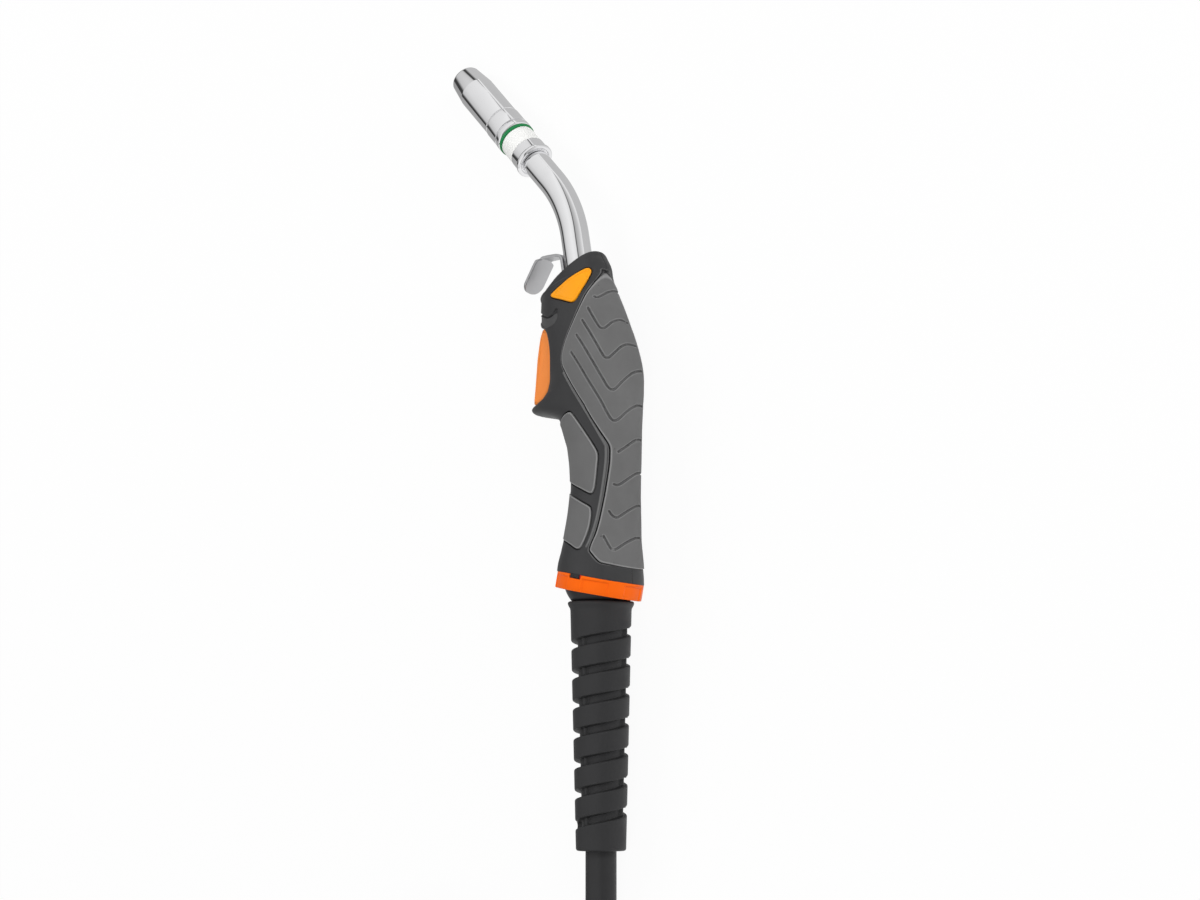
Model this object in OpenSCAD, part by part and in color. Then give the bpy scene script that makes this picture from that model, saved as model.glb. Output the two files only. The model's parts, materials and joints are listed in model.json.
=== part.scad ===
// MIG welding torch: a pistol-bodied handle with a bent neck and gas nozzle,
// on a swivel joint with a spiral bend relief, and its power cable coiled to a
// central connector. All sizes are in millimetres. The torch is drawn upright in
// its own frame (z up the handle, x towards the trigger, y to the left side) and
// is then laid on the bench, which is the plane z = 0.

/* [Handle] */
// Diameter of the round base of the handle
base_d = 41; // [40:0.5:44]
// Lean of the handle base and lock ring from the cable axis, degrees
base_tilt = 13; // [11:0.5:14]
// Front to back size at the waist
waist_depth = 34.8; // [33:0.2:38]
// Side to side size at the waist
waist_width = 30.4; // [29:0.2:34]
// Front to back size at the palm swell
palm_depth = 49.6; // [47:0.2:52]
// Side to side size at the palm swell
palm_width = 38.8; // [37:0.2:42]
// Front to back size of the head above the trigger
head_depth = 45.2; // [43:0.2:47]
// Side to side size of the head above the trigger
head_width = 29.6; // [28:0.2:33]
// Wall of the handle shells
shell_wall = 3.2; // [2.8:0.1:3.6]
// Depth of the recesses that hold the soft grips
grip_depth = 1.6; // [1.2:0.1:1.8]
// Gap left round an inlaid piece
inlay_gap = 0.15; // [0.1:0.05:0.25]

/* [Trigger] */
// Width of the trigger
trigger_w = 16; // [12:0.5:18]
// Travel of the trigger, degrees
trigger_travel = 6; // [3:0.5:7]
// Diameter of the trigger pin
trigger_pin_d = 3; // [2.5:0.1:4]
// Diameter of the switch button
button_d = 3; // [2:0.1:4]

/* [Neck] */
// Diameter of the neck tube
neck_d = 14.2; // [13.6:0.1:14.8]
// Lean of the straight part of the neck inside the handle, degrees
neck_lean = 10.5; // [9:0.5:12]
// Angle of the bend in the neck, degrees
neck_bend = 32.5; // [28:0.5:36]
// Radius of the bend to the centre of the tube
neck_bend_r = 63; // [56:1:70]
// Length of the straight end of the neck past its bend
neck_end = 16.2; // [14:0.2:18]
// Bore of the neck tube
neck_bore = 11; // [10.4:0.1:11.6]
// Diameter of the inner tube in the neck
inner_tube_d = 8; // [7:0.1:9]

/* [Nozzle] */
// Diameter of the steel collar
collar_d = 19.2; // [18.4:0.1:20]
// Length of the steel collar
collar_len = 8.8; // [8:0.1:10]
// Length of the white insulator ring
insulator_len = 7.2; // [6:0.1:9]
// Length of the green marker ring
marker_len = 1.8; // [1.2:0.1:2.6]
// Length of the gas nozzle
nozzle_len = 56; // [50:0.5:60]
// Outer diameter of the gas nozzle at its rear band
nozzle_d = 19.8; // [19.2:0.1:20.4]
// Outer diameter of the gas nozzle at its mouth
nozzle_mouth_d = 15.4; // [14.6:0.1:16.4]
// Length of the tapered part of the nozzle
nozzle_taper = 14.5; // [12:0.5:18]
// Bore of the nozzle at its mouth
nozzle_bore = 12; // [11:0.1:12.6]
// Distance from the mouth of the nozzle back to the contact tip
tip_recess = 3; // [1:0.5:5]
// Diameter of the welding wire hole in the contact tip
wire_hole = 1.2; // [0.8:0.1:1.6]

/* [Swivel and bend relief] */
// Radius of the swivel ball
ball_r = 18.3; // [18.1:0.05:18.4]
// Running clearance of the swivel ball in its seat
ball_gap = 0.06; // [0.04:0.01:0.09]
// Height of the lock ring
ring_h = 8; // [7.6:0.1:8.4]
// Outer diameter of the lock ring
ring_d = 42.4; // [42:0.1:43.4]
// Length of the bend relief from the swivel centre to its end
relief_end = 131.5; // [126:0.5:136]
// Diameter of the bend relief at its top band
relief_top_d = 29.7; // [28.8:0.1:30.4]
// Diameter of the bend relief at its last band
relief_end_d = 24.2; // [23.6:0.1:24.6]
// Diameter of the lip at the top of the bend relief
relief_lip_d = 32.4; // [31.6:0.1:32.6]
// Number of turns of the spiral groove
groove_turns = 6.6; // [5.6:0.1:7]
// Width of the spiral groove
groove_w = 4.2; // [3.6:0.1:4.8]
// Depth of the spiral groove
groove_depth = 3.2; // [2.6:0.1:3.6]

/* [Cable and connector] */
// Diameter of the power cable
cable_d = 15; // [14.6:0.1:15.4]
// Diameter of the connector housing
plug_d = 45; // [43:0.5:45]
// Length of the connector housing
plug_len = 60; // [58:1:66]
// Outer diameter of the connector's union nut
nut_d = 43; // [40:0.5:44]
// Diameter of the gas and wire spigot of the connector
spigot_d = 10; // [9:0.1:11]

/* [Hidden] */
$fn = 48;
round_fn = 72;
far = 80;

// ---------- where the pieces lie ----------
rest_roll = 8.2;
bench_shift = [-131, -38.56];
rest_h = ring_d / 2 + 0.27;
relief_lean = [-3.39, -3.05, 0];

// the torch's own frame, laid on the bench
module on_bench() {
  translate([bench_shift[0], bench_shift[1], rest_h])
    rotate([-rest_roll, 0, 0]) rotate([90, 0, 90]) children();
}

// the base of the handle, square to the lock ring, with the swivel centre at 0
module at_base() { rotate([0, -base_tilt, 0]) children(); }

// the bend relief's axis, drawn pointing away from the handle
module at_relief() { rotate(relief_lean) mirror([0, 0, 1]) children(); }

// ---------- curves ----------
// a smooth curve through four values, from b at t = 0 to c at t = 1
function curve(a, b, c, d, t) =
  0.5 * ((2 * b) + (c - a) * t + (2 * a - 5 * b + 4 * c - d) * t * t
    + (3 * b - a - 3 * c + d) * t * t * t);
function station(s, u) =
  let (n = len(s) - 1, i = min(floor(u), n - 1))
  curve(s[max(i - 1, 0)], s[i], s[i + 1], s[min(i + 2, n)], u - i);
function signed_power(v, e) = sign(v) * pow(abs(v), e);
function unit(v) = v / norm(v);
function arc(centre, r, from, to, steps) =
  [for (i = [0:steps]) let (q = from + (to - from) * i / steps) centre + r * [cos(q), sin(q)]];
function side_of(path, i, d) =
  let (a = path[max(i - 1, 0)], b = path[min(i + 1, len(path) - 1)], t = unit(b - a))
  path[i] + d * [-t[1], t[0]];
// the outline of a strip that follows a path
function strip(path, half) =
  concat([for (i = [0:len(path) - 1]) side_of(path, i, half)],
    [for (i = [len(path) - 1:-1:0]) side_of(path, i, -half)]);

// ---------- the body of the handle ----------
// x, z, tilt, half depth, half width, narrowing of the front, from base to neck
handle_stations = [
  [ -0.1,  -0.5, -base_tilt, base_d / 2,        base_d / 2,         0],
  [ -2.0,  20,   -10,        base_d / 2 - 2,    base_d / 2 - 2.2,   0],
  [ -3.2,  44,   -6,         waist_depth / 2,   waist_width / 2,    0],
  [ -1.2,  68,   -1,         waist_depth / 2 + 2.9, waist_width / 2 + 1.1, 0.04],
  [  3.6,  96,    3,         palm_depth / 2,    palm_width / 2,     0.1],
  [ 11.4, 123,   10,         palm_depth / 2 - 0.8, palm_width / 2 - 2.2, 0.12],
  [ 16.4, 141,   24,         head_depth / 2,    head_width / 2,     0.12],
  [ 16.4, 150.5, 35,         head_depth / 2 - 3.8, head_width / 2 - 2, 0.06],
  [ 14.6, 156.6, 40,         head_depth / 2 - 8.4, head_width / 2 - 3.8, 0]];
loft_steps = 3;
loft_sides = 24;
section_power = 2.2;

function section(st, inset) =
  [for (k = [0:loft_sides - 1])
    let (q = 360 * k / loft_sides,
      x = (st[3] - inset) * signed_power(cos(q), 2 / section_power),
      y = (st[4] - inset) * signed_power(sin(q), 2 / section_power) * (1 - st[5] * cos(q)))
    [st[0] + x * cos(st[2]), y, st[1] - x * sin(st[2])]];

// The handle's outer form, or the same form drawn in by inset, between two
// stations. side 1 or -1 gives only its near or far half.
module handle_form(inset = 0, first = 0, last = 8, side = 0) {
  ks = side == 0 ? [0:loft_sides - 1]
    : side > 0 ? [0:loft_sides / 2] : [loft_sides / 2:loft_sides];
  rows = [for (i = [first * loft_steps:last * loft_steps])
    let (all = section(station(handle_stations, i / loft_steps), inset))
    [for (k = ks) all[k % loft_sides]]];
  n = len(rows[0]);
  m = len(rows) - 1;
  walls = [for (i = [0:m - 1], k = [0:n - 1])
    let (a = i * n + k, b = i * n + (k + 1) % n) each [[a, a + n, b + n], [a, b + n, b]]];
  polyhedron([for (r = rows) each r],
    concat([[for (k = [0:n - 1]) k]], [[for (k = [n - 1:-1:0]) m * n + k]], walls));
}

// a shape drawn on the torch's side (x forward, z up), given a width
module across(from, to) {
  rotate([90, 0, 0]) translate([0, 0, -to]) linear_extrude(height = to - from) children();
}

// outlines of the soft grips and the badge, seen from the side
back_grip_outline = [
  [-40, 151.5], [-3.2, 151.5], [-3.6, 147], [-0.5, 134.5], [4.6, 120], [9, 107.5],
  [7.2, 102.5], [-12.5, 70.2], [-16.4, 60.5], [-16.3, 55], [-13.2, 28], [-9.7, 12.5],
  [-12.6, 9], [-40, 6]];
upper_pad_outline = [
  [40, 79], [15, 75.5], [8.2, 80.9], [4.4, 80], [-10.3, 60], [-10.6, 55.5], [-8.8, 41],
  [-6, 38.4], [8.5, 46.3], [40, 60]];
lower_pad_outline = [
  [40, 53], [9.5, 40.4], [-6.4, 32.8], [-7.8, 30], [-6.8, 20.6], [-3.6, 12.2],
  [0, 11.9], [9.2, 17.5], [40, 33]];
badge_outline = [
  [20.5, 140.2], [19.4, 142], [1, 152.1], [-1.4, 150], [3.2, 136.4], [7, 135.3]];
outline_round = 1.2;

module outline(points, grow = 0) {
  offset(delta = grow) offset(r = outline_round, $fn = 24) offset(delta = -outline_round)
    polygon(points);
}

// a skin of the handle's form inside an outline, from its surface inwards
module inlay(points, depth, first, last, side = 0) {
  intersection() {
    difference() {
      handle_form(0, first, last, side);
      handle_form(depth - inlay_gap, first, last);
    }
    difference() {
      across(-far, far) outline(points, -inlay_gap);
      for (p = screw_places) across(-far, 0) translate(p) circle(d = screw_head_d + 0.4, $fn = 24);
    }
  }
}

// the hollow in front of the shells where the trigger and a finger go
scoop = [
  [60, 131], [33.5, 129], [28.5, 126], [25, 120.5], [23.4, 113], [23, 104], [24.2, 97],
  [27.2, 92.2], [32, 89.8], [60, 88]];
// the finger guard under the trigger
guard = [
  [16, 97], [23, 96], [27.2, 92.2], [32, 89.8], [36.6, 88.3], [37.8, 86.4], [36.6, 84],
  [33, 82.2], [27, 80.6], [22, 77.5], [16, 72]];
guard_half = 8.6;
guard_nose = 38.2;
guard_nose_r = 24;

// half of the handle, solid, with its finger guard
module handle_body(side) {
  difference() {
    handle_form(side = side);
    across(-far, far) polygon(scoop);
  }
  intersection() {
    across(min(0, side * guard_half), max(0, side * guard_half)) polygon(guard);
    translate([guard_nose - guard_nose_r, 0, 86])
      cylinder(r = guard_nose_r, h = 60, center = true, $fn = round_fn);
  }
}

neck_start = [17.3, 172.5];
// the neck's straight part, drawn down from where its bend starts
module at_neck_start() { translate([neck_start[0], 0, neck_start[1]]) rotate([0, neck_lean, 0]) children(); }
// the axis of the bent neck, at a distance past the end of its bend
module along_neck(d = 0) {
  a = neck_lean + neck_bend;
  translate([neck_start[0] + neck_bend_r * (cos(neck_lean) - cos(a)), 0,
      neck_start[1] + neck_bend_r * (sin(a) - sin(neck_lean))])
    rotate([0, a, 0]) translate([0, 0, d]) children();
}
neck_tail = 62;
neck_fit = 0.12;
pivot = [24.5, 124.5];
slot_half = trigger_w / 2 + 0.4;
seat_h = 10;
seat_low_d = 38;
seat_top_d = 34.8;
screw_places = [[10, 33], [16, 87], [25.5, 135]];
screw_d = 3.5;
screw_head_d = 6;
screw_head_at = -8.5;
screw_reach = 7.8;

module handle_shell(side) {
  difference() {
    handle_body(side);
    difference() {
      handle_form(shell_wall, 0, 7);
      at_base() translate([0, 0, -20]) cylinder(d = far, h = 20 + seat_h - 1);
      for (p = screw_places) across(-far, far) translate(p) circle(d = screw_d + 3.5);
    }
    // recesses of the grips and the badge
    difference() {
      across(-far, far) {
        outline(back_grip_outline);
        outline(upper_pad_outline);
        outline(lower_pad_outline);
      }
      handle_form(grip_depth);
    }
    if (side > 0) difference() {
      across(0, far) outline(badge_outline);
      handle_form(badge_depth, 5, 8);
    }
    // seat of the ball joint, neck, hook and trigger openings
    at_base() cylinder(d1 = seat_low_d + 0.2, d2 = seat_top_d + 0.2, h = seat_h + 0.1, $fn = round_fn);
    at_base() translate([0, 0, -20]) cylinder(d = far, h = 20);
    at_base() sphere(r = ball_r + 0.4, $fn = round_fn);
    at_neck_start() translate([0, 0, -neck_tail]) cylinder(d = neck_d + 2 * neck_fit, h = 80);
    across(-hook_leg_w / 2 - 0.2, hook_leg_w / 2 + 0.2) hook_slot();
    across(-slot_half, slot_half) polygon([[12, 93.5], [40, 93.5], [40, 130.5], [12, 130.5]]);
    for (p = screw_places) across(-far, screw_reach + 0.3) translate(p) circle(d = screw_d - 0.3, $fn = 24);
    for (p = screw_places) across(-far, screw_head_at) translate(p) circle(d = screw_head_d + 0.4, $fn = 24);
  }
}
badge_depth = 1;

module handle_shell_near() {
  color([0.2, 0.2, 0.22]) on_bench() handle_shell(1);
}
module handle_shell_far() {
  color([0.2, 0.2, 0.22]) on_bench() handle_shell(-1);
}
module back_grip() {
  color([0.42, 0.42, 0.43]) on_bench() inlay(back_grip_outline, grip_depth, 0, 8);
}
module front_grip_upper() {
  color([0.42, 0.42, 0.43]) on_bench() inlay(upper_pad_outline, grip_depth, 1, 4);
}
module front_grip_lower() {
  color([0.42, 0.42, 0.43]) on_bench() inlay(lower_pad_outline, grip_depth, 0, 3);
}
module badge_panel() {
  color([1, 0.62, 0.1]) on_bench() inlay(badge_outline, badge_depth, 5, 8, 1);
}
module shell_screws() {
  color("silver") on_bench() for (p = screw_places) {
    across(screw_head_at - 0.2, screw_reach) translate(p) circle(d = screw_d - 0.4, $fn = 24);
    across(screw_head_at - 2.4, screw_head_at - 0.1) translate(p) difference() {
      circle(d = screw_head_d, $fn = 24);
      circle(d = 3, $fn = 6);
    }
  }
}

// ---------- hanging hook ----------
hook_w = 13;
hook_leg_w = 7.6;
hook_t = 1.5;
// the hook's path: up the front of the neck, over, and down the free tab
hook_in = neck_d / 2 + neck_fit + 0.1 + hook_t / 2;
function beside_neck(z) = let (x = neck_start[0] + (z - neck_start[1]) * tan(neck_lean))
  [x + hook_in / cos(neck_lean), z];
hook_leg_low = 148;
hook_top = 165;
tab_top = [35.4, 163.2];
tab_end = [45.8, 148];
hook_path = concat(
  [beside_neck(hook_leg_low), beside_neck(hook_top - 4)],
  arc([beside_neck(hook_top - 4)[0] + 3, hook_top - 4], 3, 170, 95, 4),
  [[30.5, hook_top - 0.9]],
  arc([tab_top[0] - 3.2, tab_top[1] - 1.5], 3.2, 85, 36, 3),
  [tab_end]);
module hook_slot() {
  polygon(strip([beside_neck(hook_leg_low - 1), beside_neck(hook_top)], hook_t / 2 + 0.15));
}
tab_slope = 55.6;
tab_len = norm(tab_end - tab_top) + 0.2;
tab_corner = 5.5;
module hanging_hook() {
  color([0.75, 0.75, 0.76]) on_bench() {
    across(-hook_leg_w / 2, hook_leg_w / 2) polygon(strip(hook_path, hook_t / 2));
    // the broad free tab, with sloping shoulders and round corners
    translate([tab_top[0], 0, tab_top[1]]) rotate([0, tab_slope, 0])
      linear_extrude(height = hook_t + 0.1, center = true) hull() {
        translate([-0.5, -hook_leg_w / 2 - 0.1]) square([1, hook_leg_w + 0.2]);
        translate([4.5, -hook_w / 2]) square([1, hook_w]);
        for (s = [-1, 1]) translate([tab_len - tab_corner, s * (hook_w / 2 - tab_corner)]) circle(r = tab_corner);
      }
  }
}

// ---------- neck and nozzle ----------
// A bent tube that follows the neck. Its straight parts are a hair thinner in
// the wall than the bend and run a little way into it.
tube_hair = 0.03;
module neck_rod(d, tail, end, grow) {
  at_neck_start() {
    translate([0, 0, -tail]) cylinder(d = d + 2 * grow, h = tail + 1);
    translate([neck_bend_r, 0, 0]) rotate([90, 0, 0]) rotate([0, 0, 180 - neck_bend])
      rotate_extrude(angle = neck_bend, $fn = round_fn) translate([neck_bend_r, 0]) circle(d = d);
  }
  along_neck(-1) cylinder(d = d + 2 * grow, h = end + 1);
}
module neck_tube(d, bore, tail, end) {
  difference() {
    neck_rod(d, tail, end, -tube_hair);
    neck_rod(bore, tail + 1, end + 1, tube_hair);
  }
}
module swan_neck() {
  color([0.85, 0.85, 0.87]) on_bench() neck_tube(neck_d, neck_bore, neck_tail, neck_end + 6);
}
inner_bore = 4;
module neck_inner_tube() {
  color([0.72, 0.45, 0.3]) on_bench() neck_tube(inner_tube_d, inner_bore, neck_tail + 4, neck_end + 5);
}
collar_wall = 1.4;
collar_lip = 3.2;
module neck_collar() {
  color([0.85, 0.85, 0.87]) on_bench() along_neck(neck_end) rotate_extrude() polygon([
    [neck_d / 2 + 0.05, collar_lip], [neck_d / 2 + 0.05, collar_len], [collar_d / 2, collar_len],
    [collar_d / 2, 0.8], [collar_d / 2 - 0.8, 0], [collar_d / 2 - collar_wall, 0],
    [collar_d / 2 - collar_wall, collar_lip]]);
}
holder_d = 11.2;
insulator_d = collar_d - 0.8;
module insulator_ring() {
  color([0.96, 0.96, 0.95]) on_bench() along_neck(neck_end + collar_len) difference() {
    cylinder(d = insulator_d, h = insulator_len);
    translate([0, 0, -1]) cylinder(d = holder_d + 0.2, h = insulator_len + 2);
  }
}
marker_d = nozzle_d - 0.2;
nozzle_at = neck_end + collar_len + insulator_len + marker_len;
module marker_ring() {
  color([0.1, 0.55, 0.3]) on_bench() along_neck(nozzle_at - marker_len) difference() {
    cylinder(d = marker_d, h = marker_len);
    translate([0, 0, -1]) cylinder(d = holder_d + 0.2, h = marker_len + 2);
  }
}
holder_neck_d = 9.4;
tip_d = 7;
tip_len = 25;
tip_thread_d = 6;
gas_hole_d = 1.8;
tip_front = nozzle_at + nozzle_len - tip_recess;
holder_front = tip_front - tip_len;
holder_at = neck_end + 6.1;
module tip_holder() {
  color([0.8, 0.6, 0.35]) on_bench() along_neck(holder_at) difference() {
    union() {
      cylinder(d = holder_d, h = nozzle_at + 4 - holder_at);
      translate([0, 0, nozzle_at + 4 - holder_at]) cylinder(d = holder_neck_d, h = holder_front - nozzle_at - 4);
    }
    translate([0, 0, -1]) cylinder(d = inner_bore, h = 80);
    translate([0, 0, holder_front - holder_at - 8]) cylinder(d = tip_thread_d, h = 10);
    for (q = [0:60:300]) rotate([0, 0, q])
      translate([0, 0, holder_front - holder_at - 11]) rotate([0, 90, 0]) cylinder(d = gas_hole_d, h = 20, $fn = 16);
  }
}
module contact_tip() {
  color([0.78, 0.48, 0.32]) on_bench() along_neck(holder_front) difference() {
    union() {
      rotate_extrude() polygon([[0, 0], [tip_d / 2, 0], [tip_d / 2, tip_len - 4], [2.4, tip_len], [0, tip_len]]);
      translate([0, 0, -7]) cylinder(d = tip_thread_d - 0.1, h = 7.5);
    }
    translate([0, 0, -8]) cylinder(d = wire_hole, h = 80, $fn = 24);
  }
}
spring_wire = 1;
spring_rise = 1.9;
spring_turns = 4;
nozzle_inner = 15.4;
// retaining spring that grips the nozzle, wound on the tip holder
module nozzle_spring() {
  color([0.7, 0.7, 0.72]) on_bench() along_neck(nozzle_at + 4.6 + spring_wire / 2)
    coil_tube([for (i = [0:12 * spring_turns]) let (q = 30 * i, r = (holder_neck_d + spring_wire) / 2 + 0.1)
      [r * cos(q), r * sin(q), spring_rise * i / 12]], spring_wire / 2, 6);
}
nozzle_body_d = nozzle_d - 0.6;
nozzle_rear_bore = 12.2;
module gas_nozzle() {
  color([0.85, 0.85, 0.87]) on_bench() along_neck(nozzle_at + 0.1) rotate_extrude($fn = round_fn) polygon([
    [nozzle_rear_bore / 2, 0], [nozzle_d / 2, 0], [nozzle_d / 2, 6.4], [nozzle_body_d / 2 + 0.1, 6.9],
    [nozzle_body_d / 2 + 0.1, 16.4], [nozzle_body_d / 2 - 0.3, 16.9],
    [nozzle_body_d / 2 - 0.3, nozzle_len - nozzle_taper], [nozzle_mouth_d / 2, nozzle_len - 0.6],
    [nozzle_mouth_d / 2 - 0.5, nozzle_len], [nozzle_bore / 2, nozzle_len],
    [nozzle_bore / 2, nozzle_len - 7], [nozzle_inner / 2, nozzle_len - 18], [nozzle_inner / 2, 16],
    [nozzle_rear_bore / 2, 14]]);
}

// ---------- inside the handle ----------
block_d = 20;
block_len = 22;
// brass block that joins the neck to the cable
module neck_block() {
  color([0.8, 0.65, 0.3]) on_bench() at_neck_start() translate([0, 0, -neck_tail - block_len + 12])
    difference() {
      rotate([0, 0, 30]) cylinder(d = block_d, h = block_len, $fn = 6);
      translate([0, 0, block_len - 12]) cylinder(d = neck_d + 0.1, h = 20);
      translate([0, 0, -1]) cylinder(d = inner_tube_d + 0.1, h = 80);
    }
}
fitting_len = 26;
fitting_at = -neck_tail - block_len + 12;
module cable_fitting() {
  color([0.8, 0.65, 0.3]) on_bench() at_neck_start() translate([0, 0, fitting_at - fitting_len])
    difference() {
      union() {
        cylinder(d = 18, h = fitting_len - 8);
        translate([0, 0, fitting_len - 8]) cylinder(d = 17.4, h = 8, $fn = 6);
      }
      translate([0, 0, -1]) cylinder(d = cable_d + 0.8, h = 17);
      cylinder(d = 6, h = 80);
    }
}
// the cable's last stretch inside the handle, from the swivel to its fitting
handle_cable_low = [-0.4, 0, 16];
handle_cable_top = [neck_start[0] + (fitting_at - fitting_len + 15) * sin(neck_lean), 0,
  neck_start[1] + (fitting_at - fitting_len + 15) * cos(neck_lean)];
handle_cable_path = [for (i = [0:10]) let (t = i / 10)
  bezier(handle_cable_low, handle_cable_low + [-4, 0, 16],
    handle_cable_top - 14 * [sin(neck_lean), 0, cos(neck_lean)], handle_cable_top, t)];
function bezier(a, b, c, d, t) =
  a * pow(1 - t, 3) + 3 * b * t * pow(1 - t, 2) + 3 * c * t * t * (1 - t) + d * pow(t, 3);
module handle_cable() {
  color([0.15, 0.15, 0.15]) on_bench() coil_tube(handle_cable_path, cable_d / 2 - 0.1, 12, [0, 1, 0]);
}

// cradle behind the trigger that holds its pin and the microswitch
carrier = [[14.2, 95], [17.4, 95], [17.4, 113.5], [19.2, 118.5], [28, 120.5], [28, 128.6],
  [17.9, 128.6], [17.6, 123.5], [15.6, 113]];
module trigger_carrier() {
  color([0.12, 0.12, 0.13]) on_bench() difference() {
    across(-slot_half + 0.15, slot_half - 0.15) polygon(carrier);
    across(-trigger_w / 2 + 1, trigger_w / 2 - 1) polygon([[19, 90], [40, 90], [40, 140], [19, 140]]);
    across(-far, far) translate(pivot) circle(d = trigger_pin_d + 0.1);
  }
}
// the trigger seen from the side: its front edge from top to bottom, then back up
trigger_front = [
  [30.4, 126.6], [32.2, 122], [33.4, 116], [34.6, 107], [35.7, 98], [36, 93.4], [35, 91.6]];
trigger_back = [[31, 93.6], [24.4, 98], [24.4, 114]];
trigger_top = [[22.3, 121], [21.8, 126], [24.6, 127.8], [28.4, 127.8]];
tongue_half = trigger_w / 2 - 1.3;
module trigger() {
  color([1, 0.48, 0.16]) on_bench() difference() {
    union() {
      difference() {
        across(-trigger_w / 2, trigger_w / 2) polygon(concat(trigger_front, trigger_back, trigger_top));
        across(-far, far) polygon([[0, 110], [29, 118.4], [29, 140], [0, 140]]);
      }
      across(-tongue_half, tongue_half)
        polygon(concat([for (i = [0:2]) trigger_front[i]], [trigger_back[2]], trigger_top));
    }
    across(-far, far) translate(pivot) circle(d = trigger_pin_d + 0.1);
  }
}
module trigger_pin() {
  color("silver") on_bench() across(-slot_half + 0.2, slot_half - 0.2)
    translate(pivot) circle(d = trigger_pin_d);
}
button_z = 106;
module microswitch() {
  color([0.1, 0.1, 0.1]) on_bench() difference() {
    across(-3.2, 3.2) polygon([[17.5, 98.5], [21.2, 98.5], [21.2, 113.2], [17.5, 113.2]]);
    translate([18, 0, button_z]) rotate([0, 90, 0]) cylinder(d = button_d + 0.1, h = 10);
  }
}
module switch_button() {
  color([0.8, 0.1, 0.1]) on_bench() translate([20.1, 0, button_z]) rotate([0, 90, 0])
    cylinder(d = button_d, h = 24.2 - 20.1);
}
wire_points = [[19.3, 2.2, 97.9], [19, 2.6, 95], [16.4, 3.8, 92.9], [12.5, 6.2, 92.3], [8.5, 9.6, 90],
  [5, 11, 84], [3.5, 11.2, 70]];
module switch_wires() {
  color([0.2, 0.2, 0.7]) on_bench() for (s = [-1, 1])
    coil_tube([for (i = [0:18]) let (p = station(wire_points, i / 3)) [p[0], s * p[1], p[2]]], 0.9, 6, [0, 1, 0]);
}

// ---------- swivel ----------
module ball_seat() {
  color([0.15, 0.15, 0.16]) on_bench() at_base() difference() {
    cylinder(d1 = seat_low_d, d2 = seat_top_d, h = seat_h, $fn = round_fn);
    sphere(r = ball_r + ball_gap, $fn = 2 * round_fn);
  }
}
ring_top = -0.3;
ring_pads = 6;
pad_turn = 24;
pad_height = 0.6;
pad_angle = 96;
notch_w = 7;
notch_h = 2;
module lock_ring() {
  color([1, 0.45, 0.1]) on_bench() at_base() difference() {
    translate([0, 0, ring_top - ring_h]) cylinder(d = ring_d, h = ring_h, $fn = round_fn);
    sphere(r = ball_r + ball_gap, $fn = round_fn);
    for (k = [0:ring_pads - 1]) rotate([0, 0, pad_angle + 360 * (k + 0.5) / ring_pads])
      translate([0, 0, ring_top - ring_h - 1]) linear_extrude(height = ring_h - 0.6) difference() {
        polygon(concat([[0, 0]], arc([0, 0], ring_d, pad_turn / 2 - 180 / ring_pads, 180 / ring_pads - pad_turn / 2, 6)));
        circle(d = ring_d - 2 * pad_height, $fn = round_fn);
      }
    rotate([0, 0, pad_angle]) translate([0, -notch_w / 2, ring_top - notch_h]) cube([far, notch_w, far]);
  }
}
ball_low = 10.9;
ball_top = 9;
relief_bore = cable_d + 1.2;
neck_sleeve_d = 20.4;
module swivel_ball() {
  color([0.13, 0.13, 0.14]) on_bench() difference() {
    intersection() {
      sphere(r = ball_r, $fn = round_fn);
      at_relief() translate([0, 0, -ball_top]) cylinder(d = 4 * ball_r, h = ball_low + ball_top);
    }
    at_relief() translate([0, 0, -far]) cylinder(d = neck_sleeve_d + 0.1, h = 2 * far);
  }
}

// ---------- spiral bend relief ----------
lip_top = 11.7;
lip_h = 4.3;
groove_first = 25;
groove_from = 247;
groove_step = 14.35;
band_edge = 0.7;
groove_side = 20;
function relief_d(z) =
  relief_top_d + (relief_end_d - relief_top_d) * (z - lip_top - lip_h) / (relief_end - lip_top - lip_h);
// cross-section of the groove, from its floor outwards, as [depth, height]
groove_section = let (w = groove_w / 2, top = groove_depth - band_edge) [
  [0, -w + 0.3], [top, -w], [groove_depth + 1, -w - band_edge - 0.9],
  [groove_depth + 1, w + band_edge + 0.9], [top, w], [0, w - 0.3]];
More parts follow.
